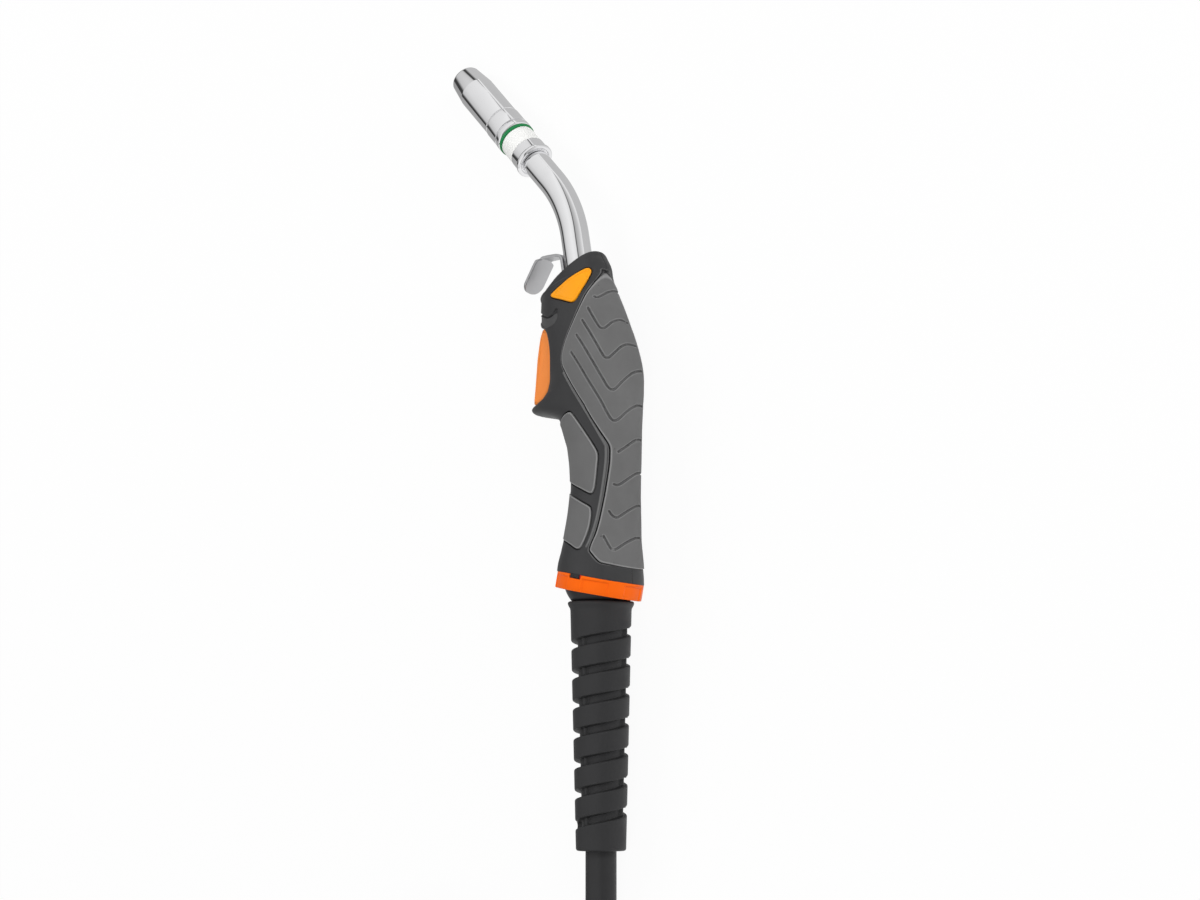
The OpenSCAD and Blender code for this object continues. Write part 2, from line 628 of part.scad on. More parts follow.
// the right-handed spiral groove, as the solid that is cut away, in the
// mirrored frame of at_relief
module groove_cutter() {
  n = len(groove_section);
  last = round(groove_turns * groove_side);
  rings = [for (i = [0:last])
    let (q = groove_from - 360 * i / groove_side, z = groove_first + groove_step * i / groove_side,
      r = relief_d(z) / 2 - groove_depth)
    each [for (p = groove_section) [(r + p[0]) * cos(q), (r + p[0]) * sin(q), z + p[1]]]];
  polyhedron(rings, concat(
    [[for (k = [0:n - 1]) k]], [[for (k = [n - 1:-1:0]) last * n + k]],
    [for (i = [0:last - 1], k = [0:n - 1])
      let (a = i * n + k, b = i * n + (k + 1) % n) each [[a, a + n, b + n], [a, b + n, b]]]));
}
module bend_relief() {
  color([0.2, 0.2, 0.21]) on_bench() at_relief() difference() {
    union() {
      translate([0, 0, -ball_top + 0.5]) cylinder(d = neck_sleeve_d, h = ball_top + lip_top + 1);
      translate([0, 0, lip_top]) cylinder(d1 = relief_lip_d - 1.4, d2 = relief_lip_d, h = 1.2);
      translate([0, 0, lip_top + 1.2]) cylinder(d1 = relief_lip_d, d2 = relief_top_d, h = lip_h - 1.2);
      translate([0, 0, lip_top + lip_h]) cylinder(d1 = relief_top_d, d2 = relief_end_d, h = relief_end - lip_top - lip_h - 1);
      translate([0, 0, relief_end - 1]) cylinder(d1 = relief_end_d, d2 = relief_end_d - 1.6, h = 1);
    }
    translate([0, 0, -far]) cylinder(d = relief_bore, h = 4 * far);
    groove_cutter();
  }
}

// ---------- cable ----------
// a round tube along a path, its ends square to it
module coil_tube(path, r, sides, up = [0, 0, 1]) {
  n = len(path);
  rings = [for (i = [0:n - 1])
    let (t = unit(path[min(i + 1, n - 1)] - path[max(i - 1, 0)]),
      a = unit(cross(t, up)), b = cross(a, t))
    each [for (k = [0:sides - 1]) let (q = 360 * (k + 0.5) / sides) path[i] + r * (a * cos(q) + b * sin(q))]];
  polyhedron(rings, concat(
    [[for (k = [sides - 1:-1:0]) k]], [[for (k = [0:sides - 1]) (n - 1) * sides + k]],
    [for (i = [0:n - 2], k = [0:sides - 1])
      let (a = i * sides + k, b = i * sides + (k + 1) % sides) each [[a, b, b + sides], [a, b + sides, a + sides]]]));
}
// the bend relief's axis on the bench
relief_way = let (d = [-cos(relief_lean[0]) * sin(relief_lean[1]), sin(relief_lean[0]),
    -cos(relief_lean[0]) * cos(relief_lean[1])])
  [d[2], d[0] * cos(rest_roll) + d[1] * sin(rest_roll), d[1] * cos(rest_roll) - d[0] * sin(rest_roll)];
function on_axis(d) = [bench_shift[0], bench_shift[1], rest_h] + d * relief_way;
// the cable's points from inside the bend relief to the coil
tie_t = 1.5;
cable_low = cable_d / 2 + tie_t + 0.2;
cable_route = concat([for (d = [-7.9, 12, 50, 90, 132, 155, 176]) on_axis(d)],
  [for (p = [[-201, 8.4], [-227, 9.2], [-247.5, 9.6]])
    [bench_shift[0] + p[0], bench_shift[1] + p[1], cable_low]]);
coil_mean_d = 155;
coil_turns = 5;
coil_step = 15.6;
coil_layer = 15.5;
coil_side = 24;
coil_start = cable_route[len(cable_route) - 1];
coil_r_out = coil_mean_d / 2 + coil_turns / 2 * coil_step / 2;
coil_centre = coil_start + [-cable_d, coil_r_out, 0];
coil_half = 180 * coil_turns;
function smooth(t) = let (u = max(0, min(1, t))) u * u * (3 - 2 * u);
function coil_point(q) =
  let (r = q < coil_half ? coil_r_out - coil_step * q / 360
      : coil_r_out - coil_step * (2 * coil_half - q) / 360)
  coil_centre + [-r * sin(q), -r * cos(q), coil_layer * smooth((q - coil_half + 90) / 180)];
coil_path = concat([coil_start],
  [for (i = [0:coil_side * coil_turns]) coil_point(360 * i / coil_side)],
  [coil_point(2 * coil_half) + [-cable_d, 0, 0]]);
coil_end = coil_path[len(coil_path) - 1];
// least gap between turns at least half a turn apart
coil_gap = min([for (i = [0:len(coil_path) - 1], j = [i + coil_side / 2:1:len(coil_path) - 1])
  norm(coil_path[i] - coil_path[j])]) - cable_d;
echo(least_gap_between_the_turns_of_the_coil = coil_gap);

module cable() { color([0.16, 0.16, 0.17]) coil_tube(cable_route, cable_d / 2, 12); }
module cable_coil() { color([0.16, 0.16, 0.17]) coil_tube(coil_path, cable_d / 2, 6); }
plug_relief_len = 34;
body_tail = 24;
plug_at = coil_end + [-46, 0, 0];
plug_axis_h = plug_d / 2 + 0.05;
tail_in_plug = plug_relief_len - 8 + plug_len - body_tail + 11;
tail_path = [coil_end, coil_end + [-20, 0, (plug_axis_h - coil_end[2]) / 3],
  [plug_at[0] + 4, plug_at[1], plug_axis_h], [plug_at[0] - tail_in_plug, plug_at[1], plug_axis_h]];
module cable_tail() { color([0.16, 0.16, 0.17]) coil_tube(tail_path, cable_d / 2, 12); }
tie_w = 12;
module coil_ties() {
  color([0.1, 0.1, 0.1]) for (q = [50, 175]) {
    inner = coil_r_out - coil_turns / 2 * coil_step - cable_d / 2 - 0.6;
    outer = coil_r_out + cable_d / 2 + 1;
    top = cable_low + coil_layer + cable_d / 2 + 0.3;
    translate([coil_centre[0], coil_centre[1], 0]) rotate([0, 0, q]) rotate([90, 0, 0])
      linear_extrude(height = tie_w, center = true) difference() {
        translate([inner - tie_t, 0.05]) square([outer - inner + 2 * tie_t, top + tie_t]);
        translate([inner, tie_t + 0.05]) square([outer - inner, top - tie_t]);
      }
  }
}

// ---------- connector ----------
// the connector's axis, drawn pointing away from the cable
module at_plug(d = 0) {
  translate([plug_at[0] - d, plug_at[1], plug_axis_h]) rotate([0, -90, 0]) children();
}
plug_relief_d = 24;
module plug_relief() {
  color([0.14, 0.14, 0.15]) at_plug() difference() {
    rotate_extrude() polygon(concat(
      [[0, 0], [cable_d / 2 + 1.6, 0]],
      [for (i = [0:4]) each let (z = 3 + 6 * i, r = cable_d / 2 + 2 + 0.55 * i)
        [[r, z], [r + 0.3, z + 4.4], [r - 1, z + 4.6], [r - 1, z + 6]]],
      [[plug_relief_d / 2, plug_relief_len], [0, plug_relief_len]]));
    translate([0, 0, -1]) cylinder(d = cable_d + 0.3, h = far);
  }
}
plug_shell_wall = 3;
module plug_shell() {
  difference() {
    rotate_extrude($fn = round_fn) polygon([
      [0, 0], [plug_relief_d / 2 + 3, 0], [plug_d / 2 - 3, 10], [plug_d / 2 - 1, 16], [plug_d / 2 - 1, 44],
      [plug_d / 2, 48], [plug_d / 2, plug_len], [0, plug_len]]);
    rotate_extrude($fn = round_fn) polygon([
      [0, -1], [plug_relief_d / 2 + 0.1, -1], [plug_relief_d / 2 + 0.1, 8.2], [cable_d / 2 + 0.3, 8.2],
      [cable_d / 2 + 0.3, plug_len - body_tail - 0.2], [plug_body_d / 2 + 0.1, plug_len - body_tail - 0.2],
      [plug_body_d / 2 + 0.1, plug_len + 1], [0, plug_len + 1]]);
    for (z = plug_screw_at, s = [-1, 1]) translate([0, s * plug_screw_r, z]) rotate([0, 90, 0]) {
      translate([0, 0, -plug_screw_reach - 0.2]) cylinder(d = 3.1, h = far, $fn = 24);
      translate([0, 0, plug_screw_reach]) cylinder(d = 6.4, h = far, $fn = 24);
    }
  }
}
plug_body_d = 30;
plug_screw_r = 13.5;
plug_screw_reach = 9;
plug_screw_at = [20, 32];
module plug_shell_left() {
  color([0.2, 0.2, 0.21]) at_plug(plug_relief_len - 8) intersection() {
    plug_shell();
    translate([0, -far, -1]) cube([far, 2 * far, 2 * far]);
  }
}
module plug_shell_right() {
  color([0.2, 0.2, 0.21]) at_plug(plug_relief_len - 8) intersection() {
    plug_shell();
    translate([-far, -far, -1]) cube([far, 2 * far, 2 * far]);
  }
}
module plug_screws() {
  color("silver") at_plug(plug_relief_len - 8) for (z = plug_screw_at, s = [-1, 1])
    translate([0, s * plug_screw_r, z]) rotate([0, 90, 0]) {
      translate([0, 0, -plug_screw_reach]) cylinder(d = 2.8, h = 2 * plug_screw_reach, $fn = 24);
      translate([0, 0, plug_screw_reach]) difference() {
        cylinder(d = 6, h = 2.4, $fn = 24);
        translate([0, 0, 1]) cylinder(d = 3, h = 3, $fn = 6);
      }
    }
}
body_front = plug_relief_len - 8 + plug_len;
flange_d = 36;
nut_len = 26;
nut_wall = 2;
pin_reach = 14;
pin_travel = 2;
control_pin_r = 11.5;
module plug_body() {
  color([0.8, 0.65, 0.3]) at_plug(body_front) difference() {
    union() {
      translate([0, 0, -body_tail]) cylinder(d = plug_body_d, h = body_tail + nut_wall + 1);
      translate([0, 0, nut_wall + 0.6]) cylinder(d = flange_d, h = 4);
      translate([0, 0, nut_wall + 4.6]) cylinder(d = 17, h = 12);
      for (s = [-1, 1]) translate([0, s * control_pin_r, nut_wall + 4.6]) cylinder(d = 5.4, h = 6);
    }
    translate([0, 0, -body_tail - 1]) cylinder(d = 8, h = 80);
    translate([0, 0, -body_tail - 1]) cylinder(d = cable_d + 0.2, h = 13);
    translate([0, 0, 10.3]) cylinder(d = nipple_root_d + 0.1, h = 20);
    for (s = [-1, 1]) translate([0, s * control_pin_r, 1]) cylinder(d = 3.1, h = 20, $fn = 24);
  }
}
module union_nut() {
  color([0.17, 0.17, 0.18]) at_plug(body_front) difference() {
    translate([0, 0, 0.3]) cylinder(d = nut_d, h = nut_len, $fn = round_fn);
    translate([0, 0, -1]) cylinder(d = plug_body_d + 0.12, h = 10, $fn = round_fn);
    translate([0, 0, 0.3 + nut_wall]) cylinder(d = flange_d + 0.6, h = far, $fn = round_fn);
    for (q = [0:30:330]) rotate([0, 0, q]) translate([nut_d / 2 + 3, 0, 4]) cylinder(d = 8, h = far, $fn = 24);
  }
}
nipple_out = 17;
nipple_root_d = 8;
module gas_nipple() {
  color([0.8, 0.65, 0.3]) at_plug(body_front + 10.4) difference() {
    union() {
      cylinder(d = nipple_root_d, h = 9);
      translate([0, 0, 8.4]) cylinder(d = spigot_d, h = nipple_out);
    }
    translate([0, 0, -1]) cylinder(d = 5, h = far);
    for (z = seal_at) translate([0, 0, z]) rotate_extrude() translate([seal_r, 0]) circle(d = 1.7, $fn = 24);
  }
}
seal_at = [13, 20];
seal_r = spigot_d / 2 - 0.84;
module gas_seals() {
  color([0.1, 0.1, 0.1]) at_plug(body_front + 10.4) for (z = seal_at)
    translate([0, 0, z]) rotate_extrude() translate([seal_r, 0]) circle(d = 1.6, $fn = 24);
}
module control_pin(s) {
  color([0.85, 0.7, 0.3]) at_plug(body_front) translate([0, s * control_pin_r, 1.3 + pin_travel]) {
    cylinder(d = 3, h = pin_reach - 1, $fn = 24);
    translate([0, 0, pin_reach - 1]) sphere(d = 3, $fn = 24);
  }
}
module control_pin_upper() { control_pin(1); }
module control_pin_lower() { control_pin(-1); }

handle_shell_near();
handle_shell_far();
back_grip();
front_grip_upper();
front_grip_lower();
badge_panel();
shell_screws();
swan_neck();
neck_inner_tube();
neck_collar();
insulator_ring();
marker_ring();
tip_holder();
contact_tip();
nozzle_spring();
gas_nozzle();
hanging_hook();
neck_block();
cable_fitting();
handle_cable();
trigger_carrier();
trigger();
trigger_pin();
microswitch();
switch_button();
switch_wires();
ball_seat();
lock_ring();
swivel_ball();
bend_relief();
cable();
cable_coil();
cable_tail();
coil_ties();
plug_relief();
plug_shell_left();
plug_shell_right();
plug_screws();
plug_body();
union_nut();
gas_nipple();
gas_seals();
control_pin_upper();
control_pin_lower();
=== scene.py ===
import json
import math

import bpy
import numpy as np
from mathutils import Matrix, Vector
from mathutils.bvhtree import BVHTree

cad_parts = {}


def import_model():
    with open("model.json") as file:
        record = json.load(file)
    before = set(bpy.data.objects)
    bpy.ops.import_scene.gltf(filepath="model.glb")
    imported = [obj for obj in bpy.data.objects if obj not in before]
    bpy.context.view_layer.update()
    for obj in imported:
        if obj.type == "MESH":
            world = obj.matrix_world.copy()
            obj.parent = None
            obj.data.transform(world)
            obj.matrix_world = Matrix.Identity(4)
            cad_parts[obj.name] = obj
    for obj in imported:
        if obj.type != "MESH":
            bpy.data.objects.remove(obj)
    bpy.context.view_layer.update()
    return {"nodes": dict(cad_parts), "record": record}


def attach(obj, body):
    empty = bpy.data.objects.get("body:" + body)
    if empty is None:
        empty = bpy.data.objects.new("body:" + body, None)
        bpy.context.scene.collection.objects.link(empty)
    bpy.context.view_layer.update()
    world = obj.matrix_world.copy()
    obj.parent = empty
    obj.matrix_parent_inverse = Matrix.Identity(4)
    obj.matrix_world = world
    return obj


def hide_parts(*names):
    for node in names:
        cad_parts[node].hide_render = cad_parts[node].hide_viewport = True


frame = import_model()
NODES = frame["nodes"]

# ---------------------------------------------------------------- the frame
# The torch's own frame is in millimetres: x towards the trigger, y towards the
# near side, z up the handle, origin at the centre of the swivel ball. It lies
# on the bench as the CAD does.
MM = 0.001
ROLL = math.radians(-8.2)
SHIFT = np.array([-0.131, -0.03856, 0.02147])
BASE_TILT = 13.0
RELIEF_LEAN = (-3.39, -3.05)


def rad(a):
    return math.radians(a)


def turn(p):
    """Torch directions to bench directions."""
    p = np.asarray(p, float)
    x, y, z = p[..., 0], p[..., 1], p[..., 2]
    c, s = math.cos(ROLL), math.sin(ROLL)
    return np.stack([z, x * c - y * s, x * s + y * c], -1)


def world(p):
    """Torch millimetres to bench metres."""
    return turn(p) * MM + SHIFT


def rot_y(p, deg):
    p = np.asarray(p, float)
    c, s = math.cos(rad(deg)), math.sin(rad(deg))
    x, y, z = p[..., 0], p[..., 1], p[..., 2]
    return np.stack([x * c + z * s, y, -x * s + z * c], -1)


def rot_x(p, deg):
    p = np.asarray(p, float)
    c, s = math.cos(rad(deg)), math.sin(rad(deg))
    x, y, z = p[..., 0], p[..., 1], p[..., 2]
    return np.stack([x, y * c - z * s, y * s + z * c], -1)


def at_base(p):
    return rot_y(p, -BASE_TILT)


def at_relief(p):
    """Points drawn with z pointing away from the handle along the relief."""
    p = np.asarray(p, float) * [1, 1, -1]
    return rot_y(rot_x(p, RELIEF_LEAN[0]), RELIEF_LEAN[1])


NECK_START = (17.3, 172.5)
NECK_LEAN = 10.5
NECK_BEND = 32.5
NECK_BEND_R = 63.0
NECK_D = 14.2
NECK_END = 16.2


def along_neck(p):
    """Points drawn with z along the nozzle, from the end of the neck's bend."""
    a = NECK_LEAN + NECK_BEND
    o = np.array([
        NECK_START[0] + NECK_BEND_R * (math.cos(rad(NECK_LEAN)) - math.cos(rad(a))), 0,
        NECK_START[1] + NECK_BEND_R * (math.sin(rad(a)) - math.sin(rad(NECK_LEAN)))])
    return rot_y(p, a) + o


# ---------------------------------------------------------------- materials
def srgb(r, g, b):
    def lin(v):
        v /= 255.0
        return v / 12.92 if v <= 0.04045 else ((v + 0.055) / 1.055) ** 2.4
    return (lin(r), lin(g), lin(b), 1.0)


def node_math(tree, operation, a, b):
    """The output of a Math node; a is a socket, and b a socket or a number."""
    node = tree.nodes.new("ShaderNodeMath")
    node.operation = operation
    tree.links.new(a, node.inputs[0])
    if isinstance(b, float):
        node.inputs[1].default_value = b
    else:
        tree.links.new(b, node.inputs[1])
    return node.outputs[0]


def node_range(tree, value, *limits):
    """The output of a Map Range node; limits are from min, from max, to min, to max."""
    node = tree.nodes.new("ShaderNodeMapRange")
    for k, v in zip(("From Min", "From Max", "To Min", "To Max"), limits):
        node.inputs[k].default_value = v
    tree.links.new(value, node.inputs["Value"])
    return node.outputs["Result"]


def node_ramp(tree, fac, stops):
    """The colour output of a ramp with (position, colour) stops."""
    node = tree.nodes.new("ShaderNodeValToRGB")
    els = node.color_ramp.elements
    while len(els) > 1:
        els.remove(els[-1])
    els[0].position, els[0].color = stops[0]
    for pos, col in stops[1:]:
        els.new(pos).color = col
    tree.links.new(fac, node.inputs["Fac"])
    return node.outputs["Color"]


def node_mix(tree, fac, a, b):
    """The output of a Mix Shader node."""
    node = tree.nodes.new("ShaderNodeMixShader")
    for k, socket in enumerate((fac, a, b)):
        tree.links.new(socket, node.inputs[k])
    return node.outputs[0]


NOISE_LOW, NOISE_HIGH = 0.3, 0.7


class Mat:
    """A principled material, with the nodes that vary it."""

    def __init__(self, name, color, rough, metal=0.0):
        self.name = name
        self.m = bpy.data.materials.new(name)
        self.m.use_nodes = True
        self.t = self.m.node_tree
        self.n = self.t.nodes
        self.b = self.n["Principled BSDF"]
        for k, v in (("Base Color", color), ("Roughness", rough), ("Metallic", metal)):
            self.b.inputs[k].default_value = v
        self.color = color
        self.bump_out = None
        self.coord = self.n.new("ShaderNodeTexCoord").outputs["Object"]

    def link(self, a, b):
        self.t.links.new(a, b)

    def noise(self, scale, detail):
        tex = self.n.new("ShaderNodeTexNoise")
        for k, v in (("Scale", scale), ("Detail", detail), ("Roughness", 0.55)):
            tex.inputs[k].default_value = v
        self.link(self.coord, tex.inputs["Vector"])
        return tex.outputs["Fac"]

    def vary_color(self, fac, amount):
        lo, hi = [tuple(min(1, v * (1 + a)) for v in self.color[:3]) + (1,) for a in (-amount, amount)]
        self.link(node_ramp(self.t, fac, [(NOISE_LOW, lo), (NOISE_HIGH, hi)]), self.b.inputs["Base Color"])

    def vary_rough(self, fac, lo, hi):
        self.link(node_range(self.t, fac, NOISE_LOW, NOISE_HIGH, lo, hi), self.b.inputs["Roughness"])

    def bump(self, fac, strength, distance):
        bp = self.n.new("ShaderNodeBump")
        bp.inputs["Strength"].default_value = strength
        bp.inputs["Distance"].default_value = distance
        self.link(fac, bp.inputs["Height"])
        if self.bump_out is not None:
            self.link(self.bump_out, bp.inputs["Normal"])
        self.bump_out = bp.outputs["Normal"]
        self.link(self.bump_out, self.b.inputs["Normal"])

    def paint_rim_highlight(self, amount, color):
        """Painted highlight: paler where the mesh's highlight attribute is 1, as an edge that catches the
        light is.
        """
        rim_highlight = self.n.new("ShaderNodeAttribute")
        rim_highlight.attribute_name = "rim_highlight"
        mix = self.n.new("ShaderNodeMix")
        mix.data_type = "RGBA"
        self.link(node_math(self.t, "MULTIPLY", rim_highlight.outputs["Fac"], amount), mix.inputs["Factor"])
        base = self.b.inputs["Base Color"]
        self.link(base.links[0].from_socket, mix.inputs["A"])
        mix.inputs["B"].default_value = color
        self.link(mix.outputs["Result"], base)


def moulded(name, color, rough, grain=2600, grain_h=0.00002, vary=0.05):
    """Plastic or rubber, with the scale and height of its moulded grain."""
    m = Mat(name, color, rough)
    m.b.inputs["Specular IOR Level"].default_value = 0.3
    m.vary_color(m.noise(60, 3), vary)
    m.vary_rough(m.noise(140, 4), rough - 0.05, rough + 0.06)
    m.bump(m.noise(grain, 2), 0.5, grain_h)
    m.bump(m.noise(35, 2), 0.25, 0.0002)
    return m


def metal(name, color, rough, scale=500, vary=0.04):
    m = Mat(name, color, rough, 1.0)
    m.vary_rough(m.noise(scale, 5), max(0.02, rough - 0.03), rough + 0.03)
    m.vary_color(m.noise(45, 3), vary)
    return m


# by material slot; ring_plastic is the lock ring's own, in the slot trigger_plastic
MATS = {m.name: m for m in (
    moulded("shell_plastic", srgb(54, 54, 55), 0.42, 2400, 0.00003),
    moulded("grip_rubber", srgb(105, 105, 105), 0.6, 3200, 0.00003, 0.06),
    moulded("relief_rubber", srgb(46, 46, 47), 0.5, 2800, 0.00003),
    moulded("cable_jacket", srgb(43, 43, 44), 0.45, 2200, 0.00002),
    moulded("ball_plastic", srgb(40, 40, 42), 0.4),
    moulded("inner_plastic", srgb(38, 38, 40), 0.45),
    moulded("ring_plastic", srgb(255, 106, 16), 0.38, 2400, 0.00002, 0.03),
    moulded("trigger_plastic", srgb(255, 150, 76), 0.36, 2400, 0.00002, 0.03),
    moulded("badge_plastic", srgb(255, 164, 22), 0.34, 2600, 0.000015, 0.03),
    moulded("ceramic_white", srgb(247, 247, 245), 0.3, 1800, 0.000002, 0.008),
    moulded("marker_green", srgb(22, 128, 70), 0.28, 1800, 0.00001, 0.06),
    moulded("button_plastic", srgb(190, 30, 20), 0.35),
    moulded("wire_jacket", srgb(40, 50, 150), 0.4),
    moulded("seal_rubber", srgb(28, 28, 28), 0.5),
    metal("chrome_plate", (0.86, 0.86, 0.87, 1), 0.035, 700, 0.02),
    metal("hook_steel", (0.52, 0.52, 0.53, 1), 0.34, 900),
    metal("steel", (0.6, 0.6, 0.61, 1), 0.24),
    metal("brass_alloy", (0.76, 0.58, 0.28, 1), 0.22),
    metal("copper_alloy", (0.83, 0.42, 0.28, 1), 0.22),
    metal("gold_plate", (0.9, 0.66, 0.28, 1), 0.14))}
# painted highlight: the grip and the shell are painted paler along their edges through the highlight
# attribute
MATS["grip_rubber"].paint_rim_highlight(0.6, srgb(158, 158, 158))
MATS["shell_plastic"].paint_rim_highlight(0.6, srgb(128, 128, 128))
for name in ("ring_plastic", "trigger_plastic"):
    MATS[name].b.inputs["Specular IOR Level"].default_value = 0.12

SLOT_OF = {p["node"]: p["material_slot"] for p in frame["record"]["subparts"]}
for node, obj in NODES.items():
    mat = MATS[SLOT_OF[node]].m
    if not obj.material_slots:
        obj.data.materials.append(mat)
    for s in obj.material_slots:
        s.material = mat


# ---------------------------------------------------------------- mesh tools
def make(name, verts, faces, slot, body, *replaced, mat=None, bench=False):
    """A mesh from torch millimetres (or bench metres) that rides on a body."""
    me = bpy.data.meshes.new(name)
    pts = np.asarray(verts, float) if bench else world(verts)
    me.from_pydata([tuple(v) for v in pts], [], [tuple(int(i) for i in f) for f in faces])
    me.materials.append(MATS[mat or slot].m)
    me.validate()
    me.update()
    ob = bpy.data.objects.new(name, me)
    bpy.context.scene.collection.objects.link(ob)
    me.polygons.foreach_set("use_smooth", [True] * len(me.polygons))
    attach(ob, body)
    for r in replaced:
        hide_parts(r)
    return ob


def sharpen(ob, angle):
    """Marks edges sharper than an angle, so that smooth shading stops there."""
    ob.data.set_sharp_from_angle(angle=rad(angle))


def unit(v, least=1e-9):
    """Rows brought to unit length."""
    return v / np.maximum(np.linalg.norm(v, axis=1), least)[:, None]


def grid_faces(rows, cols):
    """Quads between rows of points, each row closed on itself."""
    out = []
    for i in range(rows - 1):
        for k in range(cols):
            a, b = i * cols + k, i * cols + (k + 1) % cols
            out.append((a, b, b + cols, a + cols))
    return out


def triangles(quads):
    q = np.array(quads)
    return np.concatenate([q[:, [0, 1, 2]], q[:, [0, 2, 3]]])


def lathe(profile, sides):
    """A surface of revolution about z from (r, z) points."""
    p = np.asarray(profile, float)
    q = np.arange(sides) * 2 * math.pi / sides
    v = np.stack([p[:, None, 0] * np.cos(q), p[:, None, 0] * np.sin(q),
                  np.repeat(p[:, 1:2], sides, 1)], -1).reshape(-1, 3)
    return v, grid_faces(len(p), sides)


def corner(a, p, b, r, steps, most, flat):
    """A corner rounded by r, on at most a share of each side; one flatter than flat stays."""
    u, v = a - p, b - p
    lu, lv = np.linalg.norm(u), np.linalg.norm(v)
    if r <= 0 or lu < 1e-6 or lv < 1e-6:
        return [p]
    u, v = u / lu, v / lv
    ang = math.acos(max(-1, min(1, float(u @ v))))
    if ang > flat:
        return [p]
    t = min(r / math.tan(ang / 2), most * lu, most * lv)
    return [(1 - s) ** 2 * (p + u * t) + 2 * s * (1 - s) * p + s * s * (p + v * t)
            for s in (j / steps for j in range(steps + 1))]


def round_profile(points, radii, steps=4):
    """An open profile with its inner corners rounded by the given radii, or by one."""
    p = np.asarray(points, float)
    r = np.broadcast_to(radii, len(p))
    out = [p[0]]
    for i in range(1, len(p) - 1):
        out += corner(p[i - 1], p[i], p[i + 1], r[i], steps, 0.48, math.pi - 0.02)
    return out + [p[-1]]


def round_outline(points, r, steps):
    """A closed outline with its corners rounded."""
    p = np.asarray(points, float)
    out = []
    for i in range(len(p)):
        out += corner(p[i - 1], p[i], p[(i + 1) % len(p)], r, steps, 0.45, rad(172))
    return np.array(out)


def spline(p, i, t):
    """The point at t, 0 to 1, on the span after p[i] of a smooth curve through the points."""
    a, b, c, d = p[max(i - 1, 0)], p[i], p[i + 1], p[min(i + 2, len(p) - 1)]
    return 0.5 * (2 * b + (c - a) * t + (2 * a - 5 * b + 4 * c - d) * t * t
                  + (3 * b - a - 3 * c + d) * t ** 3)


def catmull(points, n):
    """A smooth open curve through points, n steps a span."""
    p = np.asarray(points, float)
    return np.array([spline(p, i, j / n) for i in range(len(p) - 1) for j in range(n)] + [p[-1]])


def sweep(path, radius, sides, up=(0, 1, 0)):
    """A round tube along a path."""
    path = np.asarray(path, float)
    t = unit(np.gradient(path, axis=0))
    a = unit(np.cross(t, np.array(up, float)))
    b = np.cross(a, t)
    q = np.arange(sides) * 2 * math.pi / sides
    v = path[:, None] + radius * (a[:, None] * np.cos(q)[None, :, None]
                                  + b[:, None] * np.sin(q)[None, :, None])
    return v.reshape(-1, 3), grid_faces(len(path), sides)


# ---------------------------------------------------------------- camera and stage
PSI, EPS = rad(42), rad(-10)
VIEW = np.array([-math.cos(EPS) * math.sin(PSI), math.cos(EPS) * math.cos(PSI), math.sin(EPS)])
RIGHT = np.array([-math.cos(PSI), -math.sin(PSI), 0])
UP = np.array([math.sin(EPS) * math.sin(PSI), -math.sin(EPS) * math.cos(PSI), math.cos(EPS)])
CAM_DIST = 1500.0
MM_PER_PX = 0.485
BALL_PX = (601.0, 577.5)
IMAGE = (1200, 900)
SENSOR = 36.0

cam_data = bpy.data.cameras.new("camera")
camera = bpy.data.objects.new("camera", cam_data)
bpy.context.scene.collection.objects.link(camera)
u = (BALL_PX[0] - IMAGE[0] / 2) * MM_PER_PX
v = -(BALL_PX[1] - IMAGE[1] / 2) * MM_PER_PX
cam_at = world(-(RIGHT * u + UP * v - VIEW * CAM_DIST))
rot = Matrix([Vector(turn(a)) for a in (RIGHT, UP, VIEW)]).transposed()
camera.matrix_world = Matrix.Translation(Vector(cam_at)) @ rot.to_4x4()
cam_data.sensor_fit = "HORIZONTAL"
cam_data.sensor_width = SENSOR
cam_data.lens = CAM_DIST / MM_PER_PX / IMAGE[0] * SENSOR
cam_data.clip_start = 0.05
cam_data.clip_end = 20
bpy.context.scene.camera = camera

FLOOR_HALF = 6.0
floor_me = bpy.data.meshes.new("floor")
floor_me.from_pydata([(x * FLOOR_HALF, y * FLOOR_HALF, 0) for x, y in ((-1, -1), (1, -1), (1, 1), (-1, 1))],
                     [], [(0, 1, 2, 3)])
floor = bpy.data.objects.new("floor", floor_me)
bpy.context.scene.collection.objects.link(floor)
floor_mat = Mat("floor_pale", (0.9, 0.9, 0.9, 1), 0.8)


def white_to_camera(tree, surface, keep):
    """White to the camera, and a painted reflection for metal that goes from pale to grey, with a share of
    the lit surface kept.
    """
    nodes, link = tree.nodes, tree.links.new
    path = nodes.new("ShaderNodeLightPath").outputs
    seen = node_math(tree, "MAXIMUM", path["Is Camera Ray"], path["Is Glossy Ray"])
    share = node_math(tree, "MULTIPLY", seen, 1 - keep)
    # The floor that metal reflects is greyer from some ways, by Geometry's Incoming. This is
    # fitted to the photo's view, and the build's rules don't allow it: see report.md.
    split = nodes.new("ShaderNodeSeparateXYZ")
    link(nodes.new("ShaderNodeNewGeometry").outputs["Incoming"], split.inputs[0])
    lean_out = node_range(tree, split.outputs["X"], -0.36, -0.02, 0.55, 0.95)
    left_out = node_range(tree, split.outputs["Y"], -0.85, -0.5, 0.4, 1.0)
    grey = node_math(tree, "MULTIPLY", lean_out, left_out)
    glow = nodes.new("ShaderNodeEmission")
    glow.inputs["Color"].default_value = (1, 1, 1, 1)
    link(node_math(tree, "MAXIMUM", path["Is Camera Ray"], grey), glow.inputs["Strength"])
    return node_mix(tree, share, surface, glow.outputs[0])


floor_mat.link(white_to_camera(floor_mat.t, floor_mat.b.outputs[0], 0.06),
               floor_mat.n["Material Output"].inputs["Surface"])
floor_me.materials.append(floor_mat.m)

